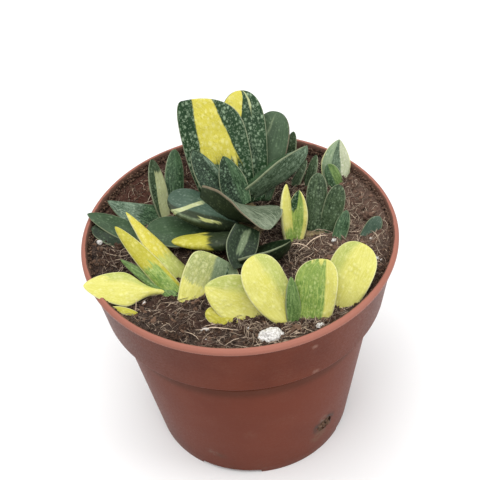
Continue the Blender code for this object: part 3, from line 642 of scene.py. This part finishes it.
MOTHER_LEAVES = {
    "mother_front_leaf": dict(
        base=(-11, 13, 92.5), tip=(13.5, -2.5, 92), face=(0.39, 0.52, 0.66), width=18, thick=2.6,
        wide=0.7, foot=0.5, full=2.4, blunt=2.4, channel=1, keel=4, bow=1, skew=-0.5, twist=-80,
        top="greyed", under="olive", margin=PINK_MARGIN),
    "mother_young_leaf": dict(
        base=(1.5, 9.5, 89), tip=(-3, 16.5, 105.5), face=(0.2, -0.8, 0.5), width=9.5, thick=2,
        wide=0.4, foot=0.8, full=1.7, blunt=1.4, channel=1, top="young",
        bands=[("lined", 0.75, 0.6, 0.6, 0.5, -1.0, 2.0)]),
    "mother_young_side_leaf": dict(
        base=(1, 11, 89), tip=(-9, 21.5, 103.5), face=(0.15, -0.8, 0.5), width=7, thick=2,
        wide=0.45, full=2, blunt=1.6, top="lined"),
    "mother_inner_left_leaf": dict(
        base=(-1.5, 9.5, 88), tip=(-13, 20.5, 106), face=(0.35, -0.75, 0.5), width=9.5, thick=3,
        wide=0.4, foot=0.8, full=1.8, blunt=1.6, sweep=0.5, top="young",
        bands=[("striped", 0.8, 0.9, 0.3, 0.3, -1.0, 0.8)]),
    "mother_right_leaf": dict(
        base=(2, 17, 92), tip=(25.5, 22.5, 102), face=(-0.48, 0.45, 0.75), width=14, thick=2,
        wide=0.4, foot=0.8, full=1.7, blunt=1.5, channel=1.5, keel=5.5, bow=1, twist=30,
        top="lined", under="shaded"),
    "mother_back_left_leaf": dict(
        base=(-1.5, 14.5, 84), tip=(-7.5, 29.5, 121), face=(-0.05, -0.88, 0.47), width=22,
        thick=3.4, wide=0.58, foot=0.72, full=3, blunt=2.2, bow=1, skew=0.7, top="spotted",
        yellow=True, straight=True,
        bands=[("yellow", 0.15, -0.11, 0.78, 0.28, 0.44, 2.0)]),
    "mother_back_leaf": dict(
        base=(4.5, 15.5, 85), tip=(4.5, 36.5, 117), face=(0.1, -0.85, 0.5), width=15.5, thick=3,
        wide=0.6, full=2.8, blunt=2.2, bow=1, top="spotted",
        bands=[("yellow", -1.3, -0.35, 0.3, 0.55, 0.5, 2.0),
               ("cream", 0.3, 0.45, 0.035, 0.06, 0.84, 2.0)]),
    "mother_back_right_leaf": dict(
        base=(7.5, 17.5, 84), tip=(16.5, 36.5, 107), face=(-0.2, -0.8, 0.55), width=13, thick=2.8,
        wide=0.6, full=2.8, blunt=2.2, bow=1, top="dull", margin=PINK_MARGIN,
        bands=[("sage", -0.55, -0.05, 0.03, 0.05, 0.72, 0.95)]),
    "mother_front_left_leaf": dict(
        base=(3, -2, 90), tip=(-2.5, -16, 85), face=(0.3, -0.3, 1), width=10.5, thick=2.6,
        wide=0.45, foot=0.8, full=1.6, blunt=1.35, channel=1, top="deep",
        bands=[("sage", -0.12, 0.15, 0.25, 0.12, 0.1, 0.66)]),
    "mother_left_leaf": dict(
        base=(-1.5, 5, 84), tip=(-22.5, 9, 96), face=(0.1, -0.1, 1), width=13.5, thick=8, wide=0.6,
        foot=0.45, full=2.8, blunt=2, keel=0.5, bow=1, top="slate", under="olive", rim=0.0,
        bands=[("olive", -1.1, -1.3, 0.75, 0.6, -1.0, 2.0),
               ("cream", 2.03, -1.42, 0.14, 0.14, 0.52, 0.9),
               ("sage", 0.26, 0.24, 0.07, 0.07, 0.38, 0.56),
               ("pale", -0.79, -0.79, 0.08, 0.06, 0.28, 0.55),
               ("sage", -0.92, -0.92, 0.03, 0.03, 0.5, 0.85)]),
    "mother_yellow_tip_leaf": dict(
        base=(4, -3, 84.5), tip=(-22, -6.5, 90.5), face=(0.05, 0.2, 0.95), width=8.5, thick=6,
        blunt=1.9, keel=0.8, top="golden", rim=0.0,
        bands=[("olive", 0.0, 0.0, 1.4, 1.4, -1.0, 0.56)]),
    "mother_low_right_leaf": dict(
        base=(-1, -9.5, 84), tip=(16.5, -8.5, 88.5), face=(-0.1, 0.55, 0.8), width=16, thick=2.6,
        full=2.4, blunt=1.9, channel=2.5, keel=2, top="deep"),
    "mother_low_left_leaf": dict(
        base=(-0.5, 7, 80), tip=(-30.5, 2, 88), face=(0.1, -0.2, 0.95), width=13, thick=4,
        wide=0.65, foot=0.5, full=2.4, blunt=2.0, top="dull", under="olive"),
}

# One flesh of a leaf: long streaks, raised pale spots and small specks on a clouded ground.
tree, given, result = new_group(
    "leaf flesh",
    [("Blade", "v"), ("Place", "v"), ("Half Width", "f"), ("Length", "f"), ("Ground", "c"),
     ("Streak", "c"), ("Spot", "c"), ("Gap", "f"), ("Size", "f"), ("Share", "f"),
     ("Soft", "f"), ("Streaks", "f")],
    [("Colour", "c"), ("Height", "f"), ("Roughness", "f")])
flesh_group = tree
place = given["Place"]
aside, up_leaf, _ = add_node(tree, "SeparateXYZ", {0: given["Blade"]}).outputs
broad = cloud(tree, place, 0.16, 3.0)
lines_at = add_node(tree, "CombineXYZ", {
    0: times(tree, aside, given["Half Width"]),
    1: times(tree, times(tree, up_leaf, given["Length"]), 0.13),
    2: given["Length"]}).outputs[0]
lines = cloud(tree, lines_at, 1.5, 4.0, 0.6)
fine_lines = cloud(tree, lines_at, 4.2, 2.0, 0.6)
streaks = sums(tree, "MAXIMUM", eased(tree, lines, 0.46, 0.66),
               eased(tree, fine_lines, 0.54, 0.62, 0.0, 0.8))
streaks = times(tree, streaks, given["Streaks"])
cells_at = add_node(tree, "VectorMath", {
    0: stretched(tree, place, (1.0, 0.72, 1.0)),
    "Scale": sums(tree, "DIVIDE", 1.0, given["Gap"])}, operation="SCALE").outputs[0]
bent = add_node(tree, "VectorMath", {
    0: cloud(tree, place, 0.9, 2.0, 0.5, 1), 1: (0.35, 0.35, 0.0), 2: cells_at},
    operation="MULTIPLY_ADD").outputs[0]
cells = add_node(tree, "TexVoronoi", {"Vector": bent, "Scale": 1.0, "Randomness": 0.9},
                 voronoi_dimensions="2D").outputs
chance, bulk, strength = add_node(tree, "SeparateColor", {0: cells["Color"]}).outputs
spread = eased(tree, cloud(tree, place, 0.28, 2.0), 0.35, 0.6, 0.45, 1.35)
kept = sums(tree, "LESS_THAN", chance, times(tree, given["Share"], spread))
edge = times(tree, given["Size"], eased(tree, bulk, 0.0, 1.0, 0.65, 1.25))
spots = eased(tree, cells["Distance"], sums(tree, "SUBTRACT", edge, given["Soft"]),
              sums(tree, "ADD", edge, given["Soft"]), 1.0, 0.0)
spots = times(tree, spots, kept)
small = add_node(tree, "TexVoronoi", {"Vector": bent, "Scale": 2.3},
                 voronoi_dimensions="2D").outputs
chance = add_node(tree, "SeparateColor", {0: small["Color"]}).outputs[0]
specks = times(tree, eased(tree, small["Distance"], 0.15, 0.42, 0.45, 0.0),
               sums(tree, "LESS_THAN", chance, times(tree, given["Share"], 0.9)))
colour = mixed(tree, times(tree, eased(tree, broad, 0.35, 0.65), 0.35), given["Ground"],
               given["Streak"])
colour = mixed(tree, streaks, colour, given["Streak"])
faded = times(tree, spots, eased(tree, strength, 0.0, 1.0, 0.35, 1.0))
colour = mixed(tree, specks, colour, given["Spot"])
colour = mixed(tree, faded, colour, given["Spot"])
gloss = sums(tree, "ADD", 0.36, times(tree, cloud(tree, place, 0.8, 3.0), 0.2))
tree.links.new(colour, result["Colour"])
tree.links.new(sums(tree, "ADD", spots, times(tree, lines, 0.6)), result["Height"])
tree.links.new(gloss, result["Roughness"])

# A band of other flesh, which keeps its share of the width, with soft sides and ragged ends.
tree, given, result = new_group(
    "leaf band",
    [("Blade", "v"), ("Place", "v"), ("Base Middle", "f"), ("Tip Middle", "f"),
     ("Base Half", "f"), ("Tip Half", "f"), ("Start", "f"), ("End", "f"), ("Edge", "f")],
    [("Mask", "f")])
band_group = tree
aside, up_leaf, _ = add_node(tree, "SeparateXYZ", {0: given["Blade"]}).outputs
drift = sums(tree, "SUBTRACT", cloud(tree, given["Place"], 0.22, 4.0, 0.6), 0.5)
long_at = stretched(tree, given["Place"], (1.6, 0.12, 0.4))
fingers = sums(tree, "SUBTRACT", cloud(tree, long_at, 1.0, 3.0), 0.5)
middle, half = (
    add_node(tree, "MapRange", {"Value": up_leaf, 1: 0.0, 2: 1.0, 3: given["Base " + end],
                                4: given["Tip " + end]}, clamp=False).outputs[0]
    for end in ("Middle", "Half"))
wavy = sums(tree, "ADD", aside, times(tree, drift, 0.12))
offset = sums(tree, "ABSOLUTE", sums(tree, "SUBTRACT", wavy, middle))
inside = eased(tree, sums(tree, "SUBTRACT", half, offset), times(tree, given["Edge"], -1.0),
               given["Edge"])
ragged = sums(tree, "ADD", up_leaf, times(tree, fingers, 0.35))
begun = eased(tree, sums(tree, "SUBTRACT", ragged, given["Start"]), -0.04, 0.04)
ended = eased(tree, sums(tree, "SUBTRACT", given["End"], ragged), -0.04, 0.04)
tree.links.new(times(tree, inside, times(tree, begun, ended)), result["Mask"])


def unit(rows):
    """Scale vectors to a length of one."""
    return rows / np.linalg.norm(rows, axis=-1, keepdims=True)


def lay_leaf(leaf, t, across, up):
    """Return the places of a leaf's surface points, bent and unbent, in millimetres.

    t runs along the spine from the base to the tip, and across and up are the cosine and
    sine round its section.
    """
    base, tip, face = (np.array(leaf[key], float) for key in ("base", "tip", "face"))
    length = np.linalg.norm(tip - base)
    chord = unit(tip - base)
    front = unit(face - chord * (face @ chord))
    bend = (base + tip) / 2.0 + front * leaf["bow"] * 2.0
    bend = bend + np.cross(front, chord) * leaf["sweep"] * 2.0
    s = t[:, None]
    spine = (1 - s) ** 2 * base + 2 * s * (1 - s) * bend + s * s * tip
    along = unit((1 - s) * (bend - base) + s * (tip - bend))
    normal = unit(front - along * (along @ front)[:, None])
    side = np.cross(normal, along)
    turn = np.radians(leaf["twist"]) * (s - 0.5)
    normal, side = (normal * np.cos(turn) + side * np.sin(turn),
                    side * np.cos(turn) - normal * np.sin(turn))
    close = np.sqrt(np.clip(1 - np.clip(1 - t / FOOT_ROUNDING, 0, None) ** 2, 0, None))
    wide, foot = leaf["wide"], leaf["foot"]
    low = foot + (1 - foot) * np.sin(np.pi / 2 * np.clip(t / wide, 0, 1)) ** leaf["neck"]
    past = np.clip((t - wide) / (1 - wide), 0, 1) ** leaf["full"]
    share = np.where(t <= wide, low, np.clip(1 - past, 0, None) ** (1 / leaf["blunt"]))
    half = leaf["width"] / 2.0
    shift = np.where(t > wide, leaf["skew"] * (1 - share) * half, 0.0)
    depth = leaf["thick"] / 2.0 * np.sqrt(np.clip(1 - t ** 3, 0, None)) * (1 - TIP_THINNING * t)
    rise = depth * np.sign(up) * np.abs(up) ** MARGIN_FULLNESS
    keel = leaf["keel"] * np.sqrt(np.clip(1 - t ** 4, 0, None))
    rise = rise - np.where(up < 0, keel * (1 - np.abs(across)) ** 1.2, 0.0)
    hollow = leaf["channel"] * share * (1 - across * across)
    seed = leaf["seed"]
    ripple = np.array([noise.noise(Vector((a * half / 4.0, b * length / 5.0, seed * 3.7)))
                       for a, b in zip(across, t)])
    lift = (rise - hollow + RIPPLE * ripple * share) * close
    spread = half * share * close * across + shift
    laid = spine + side * spread[:, None] + normal * lift[:, None]
    flat = np.stack([-spread + SEED_ASIDE * seed, t * length + SEED_ALONG * seed, rise], axis=1)
    return laid, flat


def add_flesh(tree, name, leaf, blade, place):
    """Add one flesh to a leaf's material."""
    ground, streak, spot, *grain = FLESH[name]
    return add_group(tree, flesh_group, blade, place, leaf["width"] / 2.0,
                     math.dist(leaf["base"], leaf["tip"]), tone(*ground), tone(*streak),
                     tone(*spot), *grain)


def paint_leaf(name, leaf):
    """Make a leaf's own material from its fleshes, its bands and its margin."""
    material, tree, shader = new_material(name)
    blade = add_node(tree, "Attribute", attribute_name="blade").outputs["Vector"]
    place = add_node(tree, "Attribute", attribute_name="place").outputs["Vector"]
    aside, up_leaf, over = add_node(tree, "SeparateXYZ", {0: blade}).outputs
    flesh = add_flesh(tree, leaf["top"], leaf, blade, place)
    colour = flesh["Colour"]
    if leaf["under"]:
        below = eased(tree, over, -0.35, 0.0, 1.0, 0.0)
        other = add_flesh(tree, leaf["under"], leaf, blade, place)
        colour = mixed(tree, below, colour, other["Colour"])
    along = blade
    if leaf["straight"]:
        # Its bands keep their width in millimetres instead, so they don't narrow with it.
        apart = add_node(tree, "SeparateXYZ", {0: place}).outputs[0]
        apart = sums(tree, "SUBTRACT", apart, SEED_ASIDE * leaf["seed"])
        apart = sums(tree, "DIVIDE", apart, leaf["width"] / 2.0)
        along = add_node(tree, "CombineXYZ", {0: apart, 1: up_leaf}).outputs[0]
    for flesh_name, *shape in leaf["bands"]:
        soft = BAND_EDGES.get(flesh_name, BAND_EDGE)
        band = add_group(tree, band_group, along, place, *shape, soft)
        other = add_flesh(tree, flesh_name, leaf, blade, place)
        colour = mixed(tree, band["Mask"], colour, other["Colour"])
    start, full = (1.0 - reach / leaf["width"] for reach in MARGIN_REACH)
    margin = eased(tree, sums(tree, "ABSOLUTE", aside), start, full, 0.0, leaf["rim"])
    colour = mixed(tree, margin, colour, tone(*leaf["margin"]))
    set_look(tree, shader, colour, flesh["Roughness"], 0.22)
    add_bump(tree, shader, flesh["Height"], 0.00012, 0.7)
    return material


def make_leaves(leaves, first_seed):
    """Model and paint a group of leaves."""
    for number, (name, row) in enumerate(leaves.items()):
        yellow = FLESH[row["top"]][0][0] > YELLOW_RED
        leaf = {**PLAIN_LEAF, "margin": CREAM_MARGIN if yellow else PALE_MARGIN,
                "yellow": yellow, **row, "seed": first_seed + number}
        long_one = math.dist(leaf["base"], leaf["tip"]) >= LONG_LEAF
        sides, rings = LONG_LEAF_MESH if long_one else SHORT_LEAF_MESH
        bpy.ops.mesh.primitive_uv_sphere_add(segments=sides, ring_count=rings, radius=1.0)
        blade = bpy.context.object
        blade.name = name + "_blade"
        points = np.array([vert.co for vert in blade.data.vertices], float)
        radius = np.hypot(points[:, 0], points[:, 1])
        across, up = (np.where(radius < 1e-4, 0.0, points[:, axis] / np.maximum(radius, 1e-6))
                      for axis in (0, 1))
        t = (1.0 + points[:, 2]) / 2.0
        laid, flat = lay_leaf(leaf, t, across, up)
        blade.data.vertices.foreach_set("co", (laid * MM).ravel())
        ways = np.stack([-across, t, up], axis=1)
        for label, rows in (("blade", ways), ("place", flat)):
            layer = blade.data.attributes.new(label, "FLOAT_VECTOR", "POINT")
            layer.data.foreach_set("vector", rows.ravel())
        blade.data.update()
        bpy.ops.object.mode_set(mode="EDIT")
        face_outwards()
        bpy.ops.object.shade_smooth()
        blade.data.materials.append(paint_leaf(name, leaf))
        fasten(blade, name)


make_leaves(MOTHER_LEAVES, 1)

# Back and left pups
# Two young rosettes at the back and left edges of the pot. Their leaves are narrow and dark,
# one has a cream side, and two lean out over the rim.
LEFT_LEAVES = {
    "back_pup_leaf": dict(
        base=(18, 35, 78), tip=(22.5, 40, 95), face=(-0.4, -0.6, 0.6), width=5, thick=2.2, full=2.0,
        top="dusky"),
    "left_pup_upright_leaf": dict(
        base=(-25, 16, 79), tip=(-27.5, 26.5, 99), face=(0.5, -0.75, 0.4), width=6.5, thick=2.8,
        foot=0.5, full=1.8, blunt=1.7, channel=0.8, top="dusky",
        bands=[("cream", 0.35, 0.65, 1.1, 0.5, -1.0, 0.82)]),
    "left_pup_back_leaf": dict(
        base=(-22, 22, 79), tip=(-20, 36, 95), face=(0.2, -0.8, 0.5), width=7, thick=2.6, full=2,
        top="lined"),
    "left_pup_striped_leaf": dict(
        base=(-26.5, 15.5, 79), tip=(-44, 19, 88.5), face=(0.3, -0.4, 0.85), width=12, thick=3,
        wide=0.2, foot=0.95, full=1.25, blunt=1.3, sweep=1, top="striped",
        bands=[("lined", 0.0, 0.0, 1.4, 1.4, -1.0, 0.4)]),
    "left_pup_rim_leaf": dict(
        base=(-31, 7.5, 79), tip=(-50.5, 12, 89.5), face=(0.1, -0.3, 1), width=8, thick=2.6,
        wide=0.4, foot=0.8, full=1.7, blunt=1.5, top="dull"),
    "left_pup_low_leaf": dict(
        base=(-32, 4, 78), tip=(-49.5, 8.5, 86), face=(0.1, -0.35, 0.95), width=7, thick=2.4,
        wide=0.6, top="deep"),
}
make_leaves(LEFT_LEAVES, 21)

# Yellow pup
# A rosette at the left whose leaves have almost no green: two stand up, one lies over the
# rim, and a torn sliver lies in the soil.
YELLOW_LEAVES = {
    "yellow_pup_middle_leaf": dict(
        base=(-19.5, -21, 77), tip=(-39.5, -4, 97), face=(0.2, -0.75, 0.6), width=6.5, thick=4,
        wide=0.4, foot=0.9, full=1.7, blunt=1.6, top="golden",
        bands=[("grassy", -0.35, -0.35, 1.1, 0.6, -1.0, 0.5)]),
    "yellow_pup_back_leaf": dict(
        base=(-18, -16, 76.5), tip=(-36, 1.5, 98), face=(0.6, -0.45, 0.6), width=10.5, thick=3.4,
        wide=0.15, foot=0.97, full=1.15, blunt=1.3, top="yellow",
        bands=[("greenish", 0.0, 0.0, 1.4, 1.4, -1.0, 0.42)]),
    "yellow_pup_lying_leaf": dict(
        base=(-23.5, -18.5, 79), tip=(-50, -22.5, 90), face=(0.05, -0.35, 0.95), width=12,
        thick=3.2, wide=0.55, foot=0.15, neck=5, full=1.6, blunt=1.5, top="lemon",
        bands=[("greenish", 0.75, 0.75, 0.3, 0.3, 0.2, 0.75)]),
    "yellow_pup_green_leaf": dict(
        base=(-20, -22, 78), tip=(-39, -9.5, 87.5), face=(0, -0.7, 0.8), width=4.5, thick=2.6,
        wide=0.4, foot=0.8, full=1.6, blunt=1.5, top="leafy"),
    "yellow_sliver_leaf": dict(
        base=(-33, -29.5, 81.5), tip=(-41.5, -28.5, 85.5), face=(0, -0.4, 0.9), width=2.6,
        thick=1.6, foot=0.5, full=1.8, blunt=1.6, top="golden"),
}
make_leaves(YELLOW_LEAVES, 31)

# Front fan
# A flat fan of broad yellow leaves at the front of the pot, the middle ones greener, with the
# pale round leaf that stands in the soil behind its left end.
FAN_LEAVES = {
    "fan_big_left_leaf": dict(
        base=(14.5, -36.5, 78), tip=(3.5, -25, 99), face=(0.35, -0.75, 0.55), width=14, thick=3.2,
        wide=0.62, foot=0.3, full=2.6, blunt=2.1, sweep=1, top="lemon",
        bands=[("greenish", 0.85, 0.6, 0.3, 0.45, 0.4, 2.0)]),
    "fan_striped_leaf": dict(
        base=(19.5, -38, 78), tip=(23.5, -28.5, 99), face=(-0.3, -0.85, 0.5), width=13.5, thick=3,
        wide=0.6, foot=0.75, full=2.6, blunt=1.9, skew=-0.35, top="lemon",
        bands=[("grassy", -0.35, -0.4, 0.95, 0.75, -1.0, 0.97)]),
    "fan_centre_leaf": dict(
        base=(14.5, -37.5, 78), tip=(14.5, -31, 94.5), face=(0.2, -0.9, 0.3), width=5, thick=2.6,
        wide=0.4, full=1.7, blunt=1.6, top="leafy"),
    "fan_left_leaf": dict(
        base=(11, -31.5, 78), tip=(-12, -27.5, 90), face=(0.25, -0.7, 0.7), width=16, thick=3,
        foot=0.75, full=1.9, blunt=1.5, top="lemon",
        bands=[("greenish", 0.8, 0.6, 0.3, 0.45, 0.3, 2.0)]),
    "fan_right_leaf": dict(
        base=(25.5, -34.5, 78), tip=(38, -22, 97), face=(-0.35, -0.8, 0.55), width=14.5, thick=3.2,
        wide=0.6, foot=0.6, full=2.8, blunt=2.3, top="lemon",
        bands=[("greenish", -0.7, -0.7, 0.35, 0.3, -1.0, 2.0)]),
    "fan_low_left_leaf": dict(
        base=(-1, -35.5, 79), tip=(-12.5, -32, 83.5), face=(0.2, -0.7, 0.7), width=6.5, thick=2.2,
        full=2.4, blunt=2.2, top="golden"),
    "pale_leaf": dict(
        base=(-16.5, -25, 77), tip=(-7, -12.5, 87.5), face=(0.2, -0.75, 0.65), width=17.5,
        thick=3.2, wide=0.65, full=4, blunt=3, top="pale",
        bands=[("lemon", -0.4, -0.5, 0.8, 0.5, -1.0, 0.4),
               ("sage", 0.6, 0.45, 0.35, 0.6, 0.45, 2.0),
               ("spotted", 0.35, 0.55, 0.03, 0.05, 0.55, 0.92)]),
}
make_leaves(FAN_LEAVES, 41)

# Right pups
# Small rosettes between the old plant and the right edge of the pot: a lime and yellow pair,
# a cream one with a green middle, and several dark leaves that have just come up.
RIGHT_LEAVES = {
    "right_pup_lime_leaf": dict(
        base=(18.5, 0.5, 78), tip=(21, 7.5, 95.5), face=(-0.3, -0.85, 0.35), width=7.5, thick=2.4,
        foot=0.6, full=1.7, blunt=1.5, top="grassy", margin=CREAM_MARGIN, yellow=True,
        bands=[("lemon", 0.85, 0.85, 0.25, 0.2, 0.1, 2.0),
               ("spotted", -0.7, -0.5, 0.3, 0.6, 0.62, 2.0)]),
    "right_pup_yellow_leaf": dict(
        base=(17, -0.5, 78), tip=(17, 9.5, 97), face=(0.55, -0.7, 0.3), width=5, thick=3, wide=0.45,
        foot=0.6, full=1.8, blunt=1.6, sweep=1, top="lemon",
        bands=[("grassy", 0.0, 0.0, 1.4, 1.4, -1.0, 0.28)]),
    "right_pup_dark_leaf": dict(
        base=(29, 2, 78), tip=(34.5, 8, 96), face=(-0.2, -0.9, 0.4), width=7, thick=2.8, wide=0.55,
        full=2.4, blunt=1.9, top="dusky"),
    "right_pup_round_leaf": dict(
        base=(25, 2.5, 78), tip=(28, 12.5, 98), face=(-0.1, -0.9, 0.4), width=7, thick=3, wide=0.65,
        foot=0.75, full=2.4, blunt=2.0, top="dusky"),
    "cream_pup_green_leaf": dict(
        base=(37, 23, 78), tip=(33, 27.5, 89), face=(0.1, -0.9, 0.4), width=6, thick=2.2, wide=0.6,
        foot=0.6, blunt=2, top="leafy",
        bands=[("lined", -0.6, -0.6, 0.6, 0.5, -1.0, 2.0)]),
    "cream_pup_leaf": dict(
        base=(36, 24, 78), tip=(38, 34.5, 94), face=(0, -0.9, 0.4), width=10.5, thick=3, wide=0.55,
        foot=0.6, full=1.5, blunt=1.4, sweep=1, top="ivory",
        bands=[("mint", -0.7, -0.5, 0.5, 0.45, -1.0, 2.0),
               ("shaded", -0.05, -0.02, 0.5, 0.16, -1.0, 2.0)]),
    "thin_pup_left_leaf": dict(
        base=(19, 25, 78), tip=(26, 32, 88), face=(-0.5, -0.6, 0.5), width=3.5, thick=2, wide=0.4,
        top="dusky"),
    "thin_pup_right_leaf": dict(
        base=(24.5, 24.5, 78), tip=(29.5, 32, 90), face=(-0.6, -0.6, 0.5), width=4.5, thick=2,
        wide=0.4, top="dusky"),
    "small_pup_leaf": dict(
        base=(32, -2.5, 78), tip=(36.5, 4, 88), face=(-0.3, -0.8, 0.5), width=5, thick=2.2,
        foot=0.8, full=2, blunt=1.6, top="lined"),
    "edge_pup_leaf": dict(
        base=(40.5, -3, 78), tip=(47, 0.5, 87), face=(-0.4, -0.75, 0.5), width=5.5, thick=2.2,
        wide=0.6, blunt=1.6, top="slate"),
}
make_leaves(RIGHT_LEAVES, 61)

# Stems
# The short woody stubs that the leaves of each rosette spring from. They only just break the
# surface of the soil, and old leaf bases have left them ringed with brown scars.
STEMS = {
    # Middle, half widths, turn, and heights of the foot and the top.
    "mother_stem": ((3.0, 8.0), (6.0, 9.5), 0.0, 74.0, 86.0),
    "left_pup_stem": ((-27.0, 13.5), (3.5, 8.0), -35.0, 73.0, 81.2),
    "yellow_pup_stem": ((-23.5, -17.0), (4.0, 4.0), 0.0, 73.0, 81.2),
    "fan_stem": ((17.5, -32.0), (8.0, 2.8), 0.0, 73.0, 81.2),
    "right_pup_stem": ((23.5, 2.5), (7.5, 2.5), 0.0, 73.0, 81.2),
}
bark, tree, shader = new_material("stem bark")
place = object_mm(tree)
rings = cloud(tree, stretched(tree, place, (0.3, 0.3, 1.4)), 1.0, 4.0, 0.6)
colour = mixed(tree, eased(tree, rings, 0.38, 0.62), tone(70, 62, 38), tone(128, 112, 78))
dust = add_group(tree, dust_group, place, 0.3, 0.7)["Mask"]
colour = mixed(tree, dust, colour, tone(64, 46, 36))
set_look(tree, shader, colour, 0.75)
add_bump(tree, shader, rings, 0.0005, 0.8)
for name, (middle, half, turn, low, top) in STEMS.items():
    bpy.ops.mesh.primitive_cylinder_add(vertices=48, radius=1.0, depth=1.0, location=(0, 0, 0))
    stem = bpy.context.object
    stem.name = name + "_stub"
    bpy.ops.object.mode_set(mode="EDIT")
    bpy.ops.mesh.select_all(action="SELECT")
    bpy.ops.mesh.subdivide(number_cuts=3)
    bpy.ops.object.mode_set(mode="OBJECT")
    spin = Matrix.Rotation(math.radians(turn), 3, "Z")
    for vert in stem.data.vertices:
        share = vert.co.z + 0.5
        narrow = (1.0 - 0.15 * share) * (1.0 + 0.08 * noise.noise(vert.co * 4.0))
        round_end = 1.0 - 0.12 * max(0.0, share - 0.85) / 0.15
        flat = Vector((vert.co.x * half[0], vert.co.y * half[1], 0.0)) * narrow * round_end
        vert.co = (spin @ flat + Vector((*middle, low + share * (top - low)))) * MM
    bpy.ops.object.shade_smooth_by_angle(angle=math.radians(50.0))
    stem.data.materials.append(bark)
    fasten(stem, name)

# Perlite
# Grains of puffed volcanic glass left from the potting mix: white, pitted and soft-edged,
# half sunk in the soil, with a few broken bits.
PERLITE = {
    # Middle and half widths.
    "perlite_large": ((7.0, -43.0, 81.2), (4.0, 3.2, 2.8)),
    "perlite_medium": ((22.3, -41.5, 82.2), (1.7, 1.5, 1.3)),
    "perlite_left": ((-47.0, 4.0, 83.2), (1.0, 0.9, 0.9)),
    "perlite_right": ((31.0, -10.5, 80.6), (1.2, 1.0, 0.9)),
}
# Places and sizes of the larger bits.
LARGE_BITS = ((-13.1, -37.2, 0.9), (-32.0, -23.9, 0.8), (31.2, -2.8, 0.7), (43.7, -14.8, 0.8))
SMALL_BITS = 26
glass, tree, shader = new_material("perlite")
place = object_mm(tree)
pits = add_node(tree, "TexVoronoi", {"Vector": place, "Scale": 1.1}).outputs["Distance"]
pores = cloud(tree, place, 1.7, 4.0, 0.65)
colour = mixed(tree, eased(tree, pores, 0.35, 0.6), tone(166, 160, 152), tone(222, 220, 217))
specks = times(tree, eased(tree, pores, 0.58, 0.66), eased(tree, pits, 0.25, 0.05))
colour = mixed(tree, specks, colour, tone(92, 78, 66))
set_look(tree, shader, colour, 0.9)
add_bump(tree, shader, sums(tree, "ADD", pores, pits), 0.0005, 0.8)
for name, (middle, half) in PERLITE.items():
    bpy.ops.mesh.primitive_ico_sphere_add(subdivisions=5, radius=1.0)
    grain = bpy.context.object
    grain.name = name + "_grain"
    for vert in grain.data.vertices:
        lump = 1.0 + 0.22 * noise.noise(vert.co * 1.7 + Vector(middle))
        lump += 0.10 * noise.noise(vert.co * 5.0 + Vector(middle))
        vert.co = (Vector(a * b for a, b in zip(vert.co * lump, half)) + Vector(middle)) * MM
    bpy.ops.object.shade_smooth()
    grain.data.materials.append(glass)
    fasten(grain, name)
draw = random.Random(71)
bits = []
points, faces = lump_points(2)
small_bits = [(*in_pot(draw, 48.0), draw.uniform(0.2, 0.42)) for _ in range(SMALL_BITS)]
for x, y, size in (*LARGE_BITS, *small_bits):
    turn = np.array(Matrix.Rotation(draw.uniform(0, 6.28), 3, "Z"))
    body = roughened(draw, points, 0.6, 1.9)
    body = (body * draw_shape(draw, (0.7, 1.5), (0.6, 1.0), (0.5, 0.9)) * size) @ turn.T
    body += (x, y, soil_height(x, y) + 0.3 * size)
    bits.append((body, faces, 1.0))
loose_mesh("perlite_bits", bits, glass)

# Studio
# A wide pale floor under even, soft light from above, seen from the front and above.
SOFTBOXES = (
    # Name, size, power and place.
    ("overhead softbox", 0.7, 5.5, (-0.10, -0.05, 0.75)),
    ("front softbox", 0.6, 2.0, (0.15, -0.75, 0.55)),
    ("side softbox", 0.4, 1.9, (0.70, -0.20, 0.50)),
)
LAMP_AIM = (0, 0, 0.07)
SKY_LIGHT = 0.55
CAMERA_PLACE = (0.0, -0.2471, 0.3155)
# Its right, up and back directions.
CAMERA_AXES = (
    (0.9961, -0.0610, -0.0642), (0.0886, 0.6834, 0.7247), (-0.0003, -0.7275, 0.6861))
LENS = 76.334
bpy.ops.mesh.primitive_plane_add(size=6.0, location=(0, 0, 0))
floor = bpy.context.object
floor.name = "floor"
paper, tree, shader = new_material("floor paper")
colour = mixed(tree, cloud(tree, object_mm(tree), 0.02, 2.0), tone(240, 240, 240),
               tone(246, 246, 246))
set_look(tree, shader, colour, 0.9, 0.1)
floor.data.materials.append(paper)

world = bpy.data.worlds.new("studio")
bpy.context.scene.world = world
world.use_nodes = True
sky = world.node_tree.nodes["Background"].inputs
sky["Color"].default_value = (1.0, 1.0, 1.0, 1.0)
sky["Strength"].default_value = SKY_LIGHT
for name, size, power, place in SOFTBOXES:
    bpy.ops.object.light_add(type="AREA", location=place)
    lamp = bpy.context.object
    lamp.name = name
    lamp.data.size = size
    lamp.data.energy = power
    aim = Vector(LAMP_AIM) - Vector(place)
    lamp.rotation_euler = aim.to_track_quat("-Z", "Y").to_euler()

camera = bpy.data.objects.new("camera", bpy.data.cameras.new("camera"))
bpy.context.scene.collection.objects.link(camera)
turned = Matrix(CAMERA_AXES).transposed().to_4x4()
camera.matrix_world = Matrix.Translation(CAMERA_PLACE) @ turned
camera.data.sensor_width = 36.0
camera.data.lens = LENS
camera.data.clip_start = 0.01
bpy.context.scene.camera = camera
bpy.context.scene.view_settings.view_transform = "Standard"
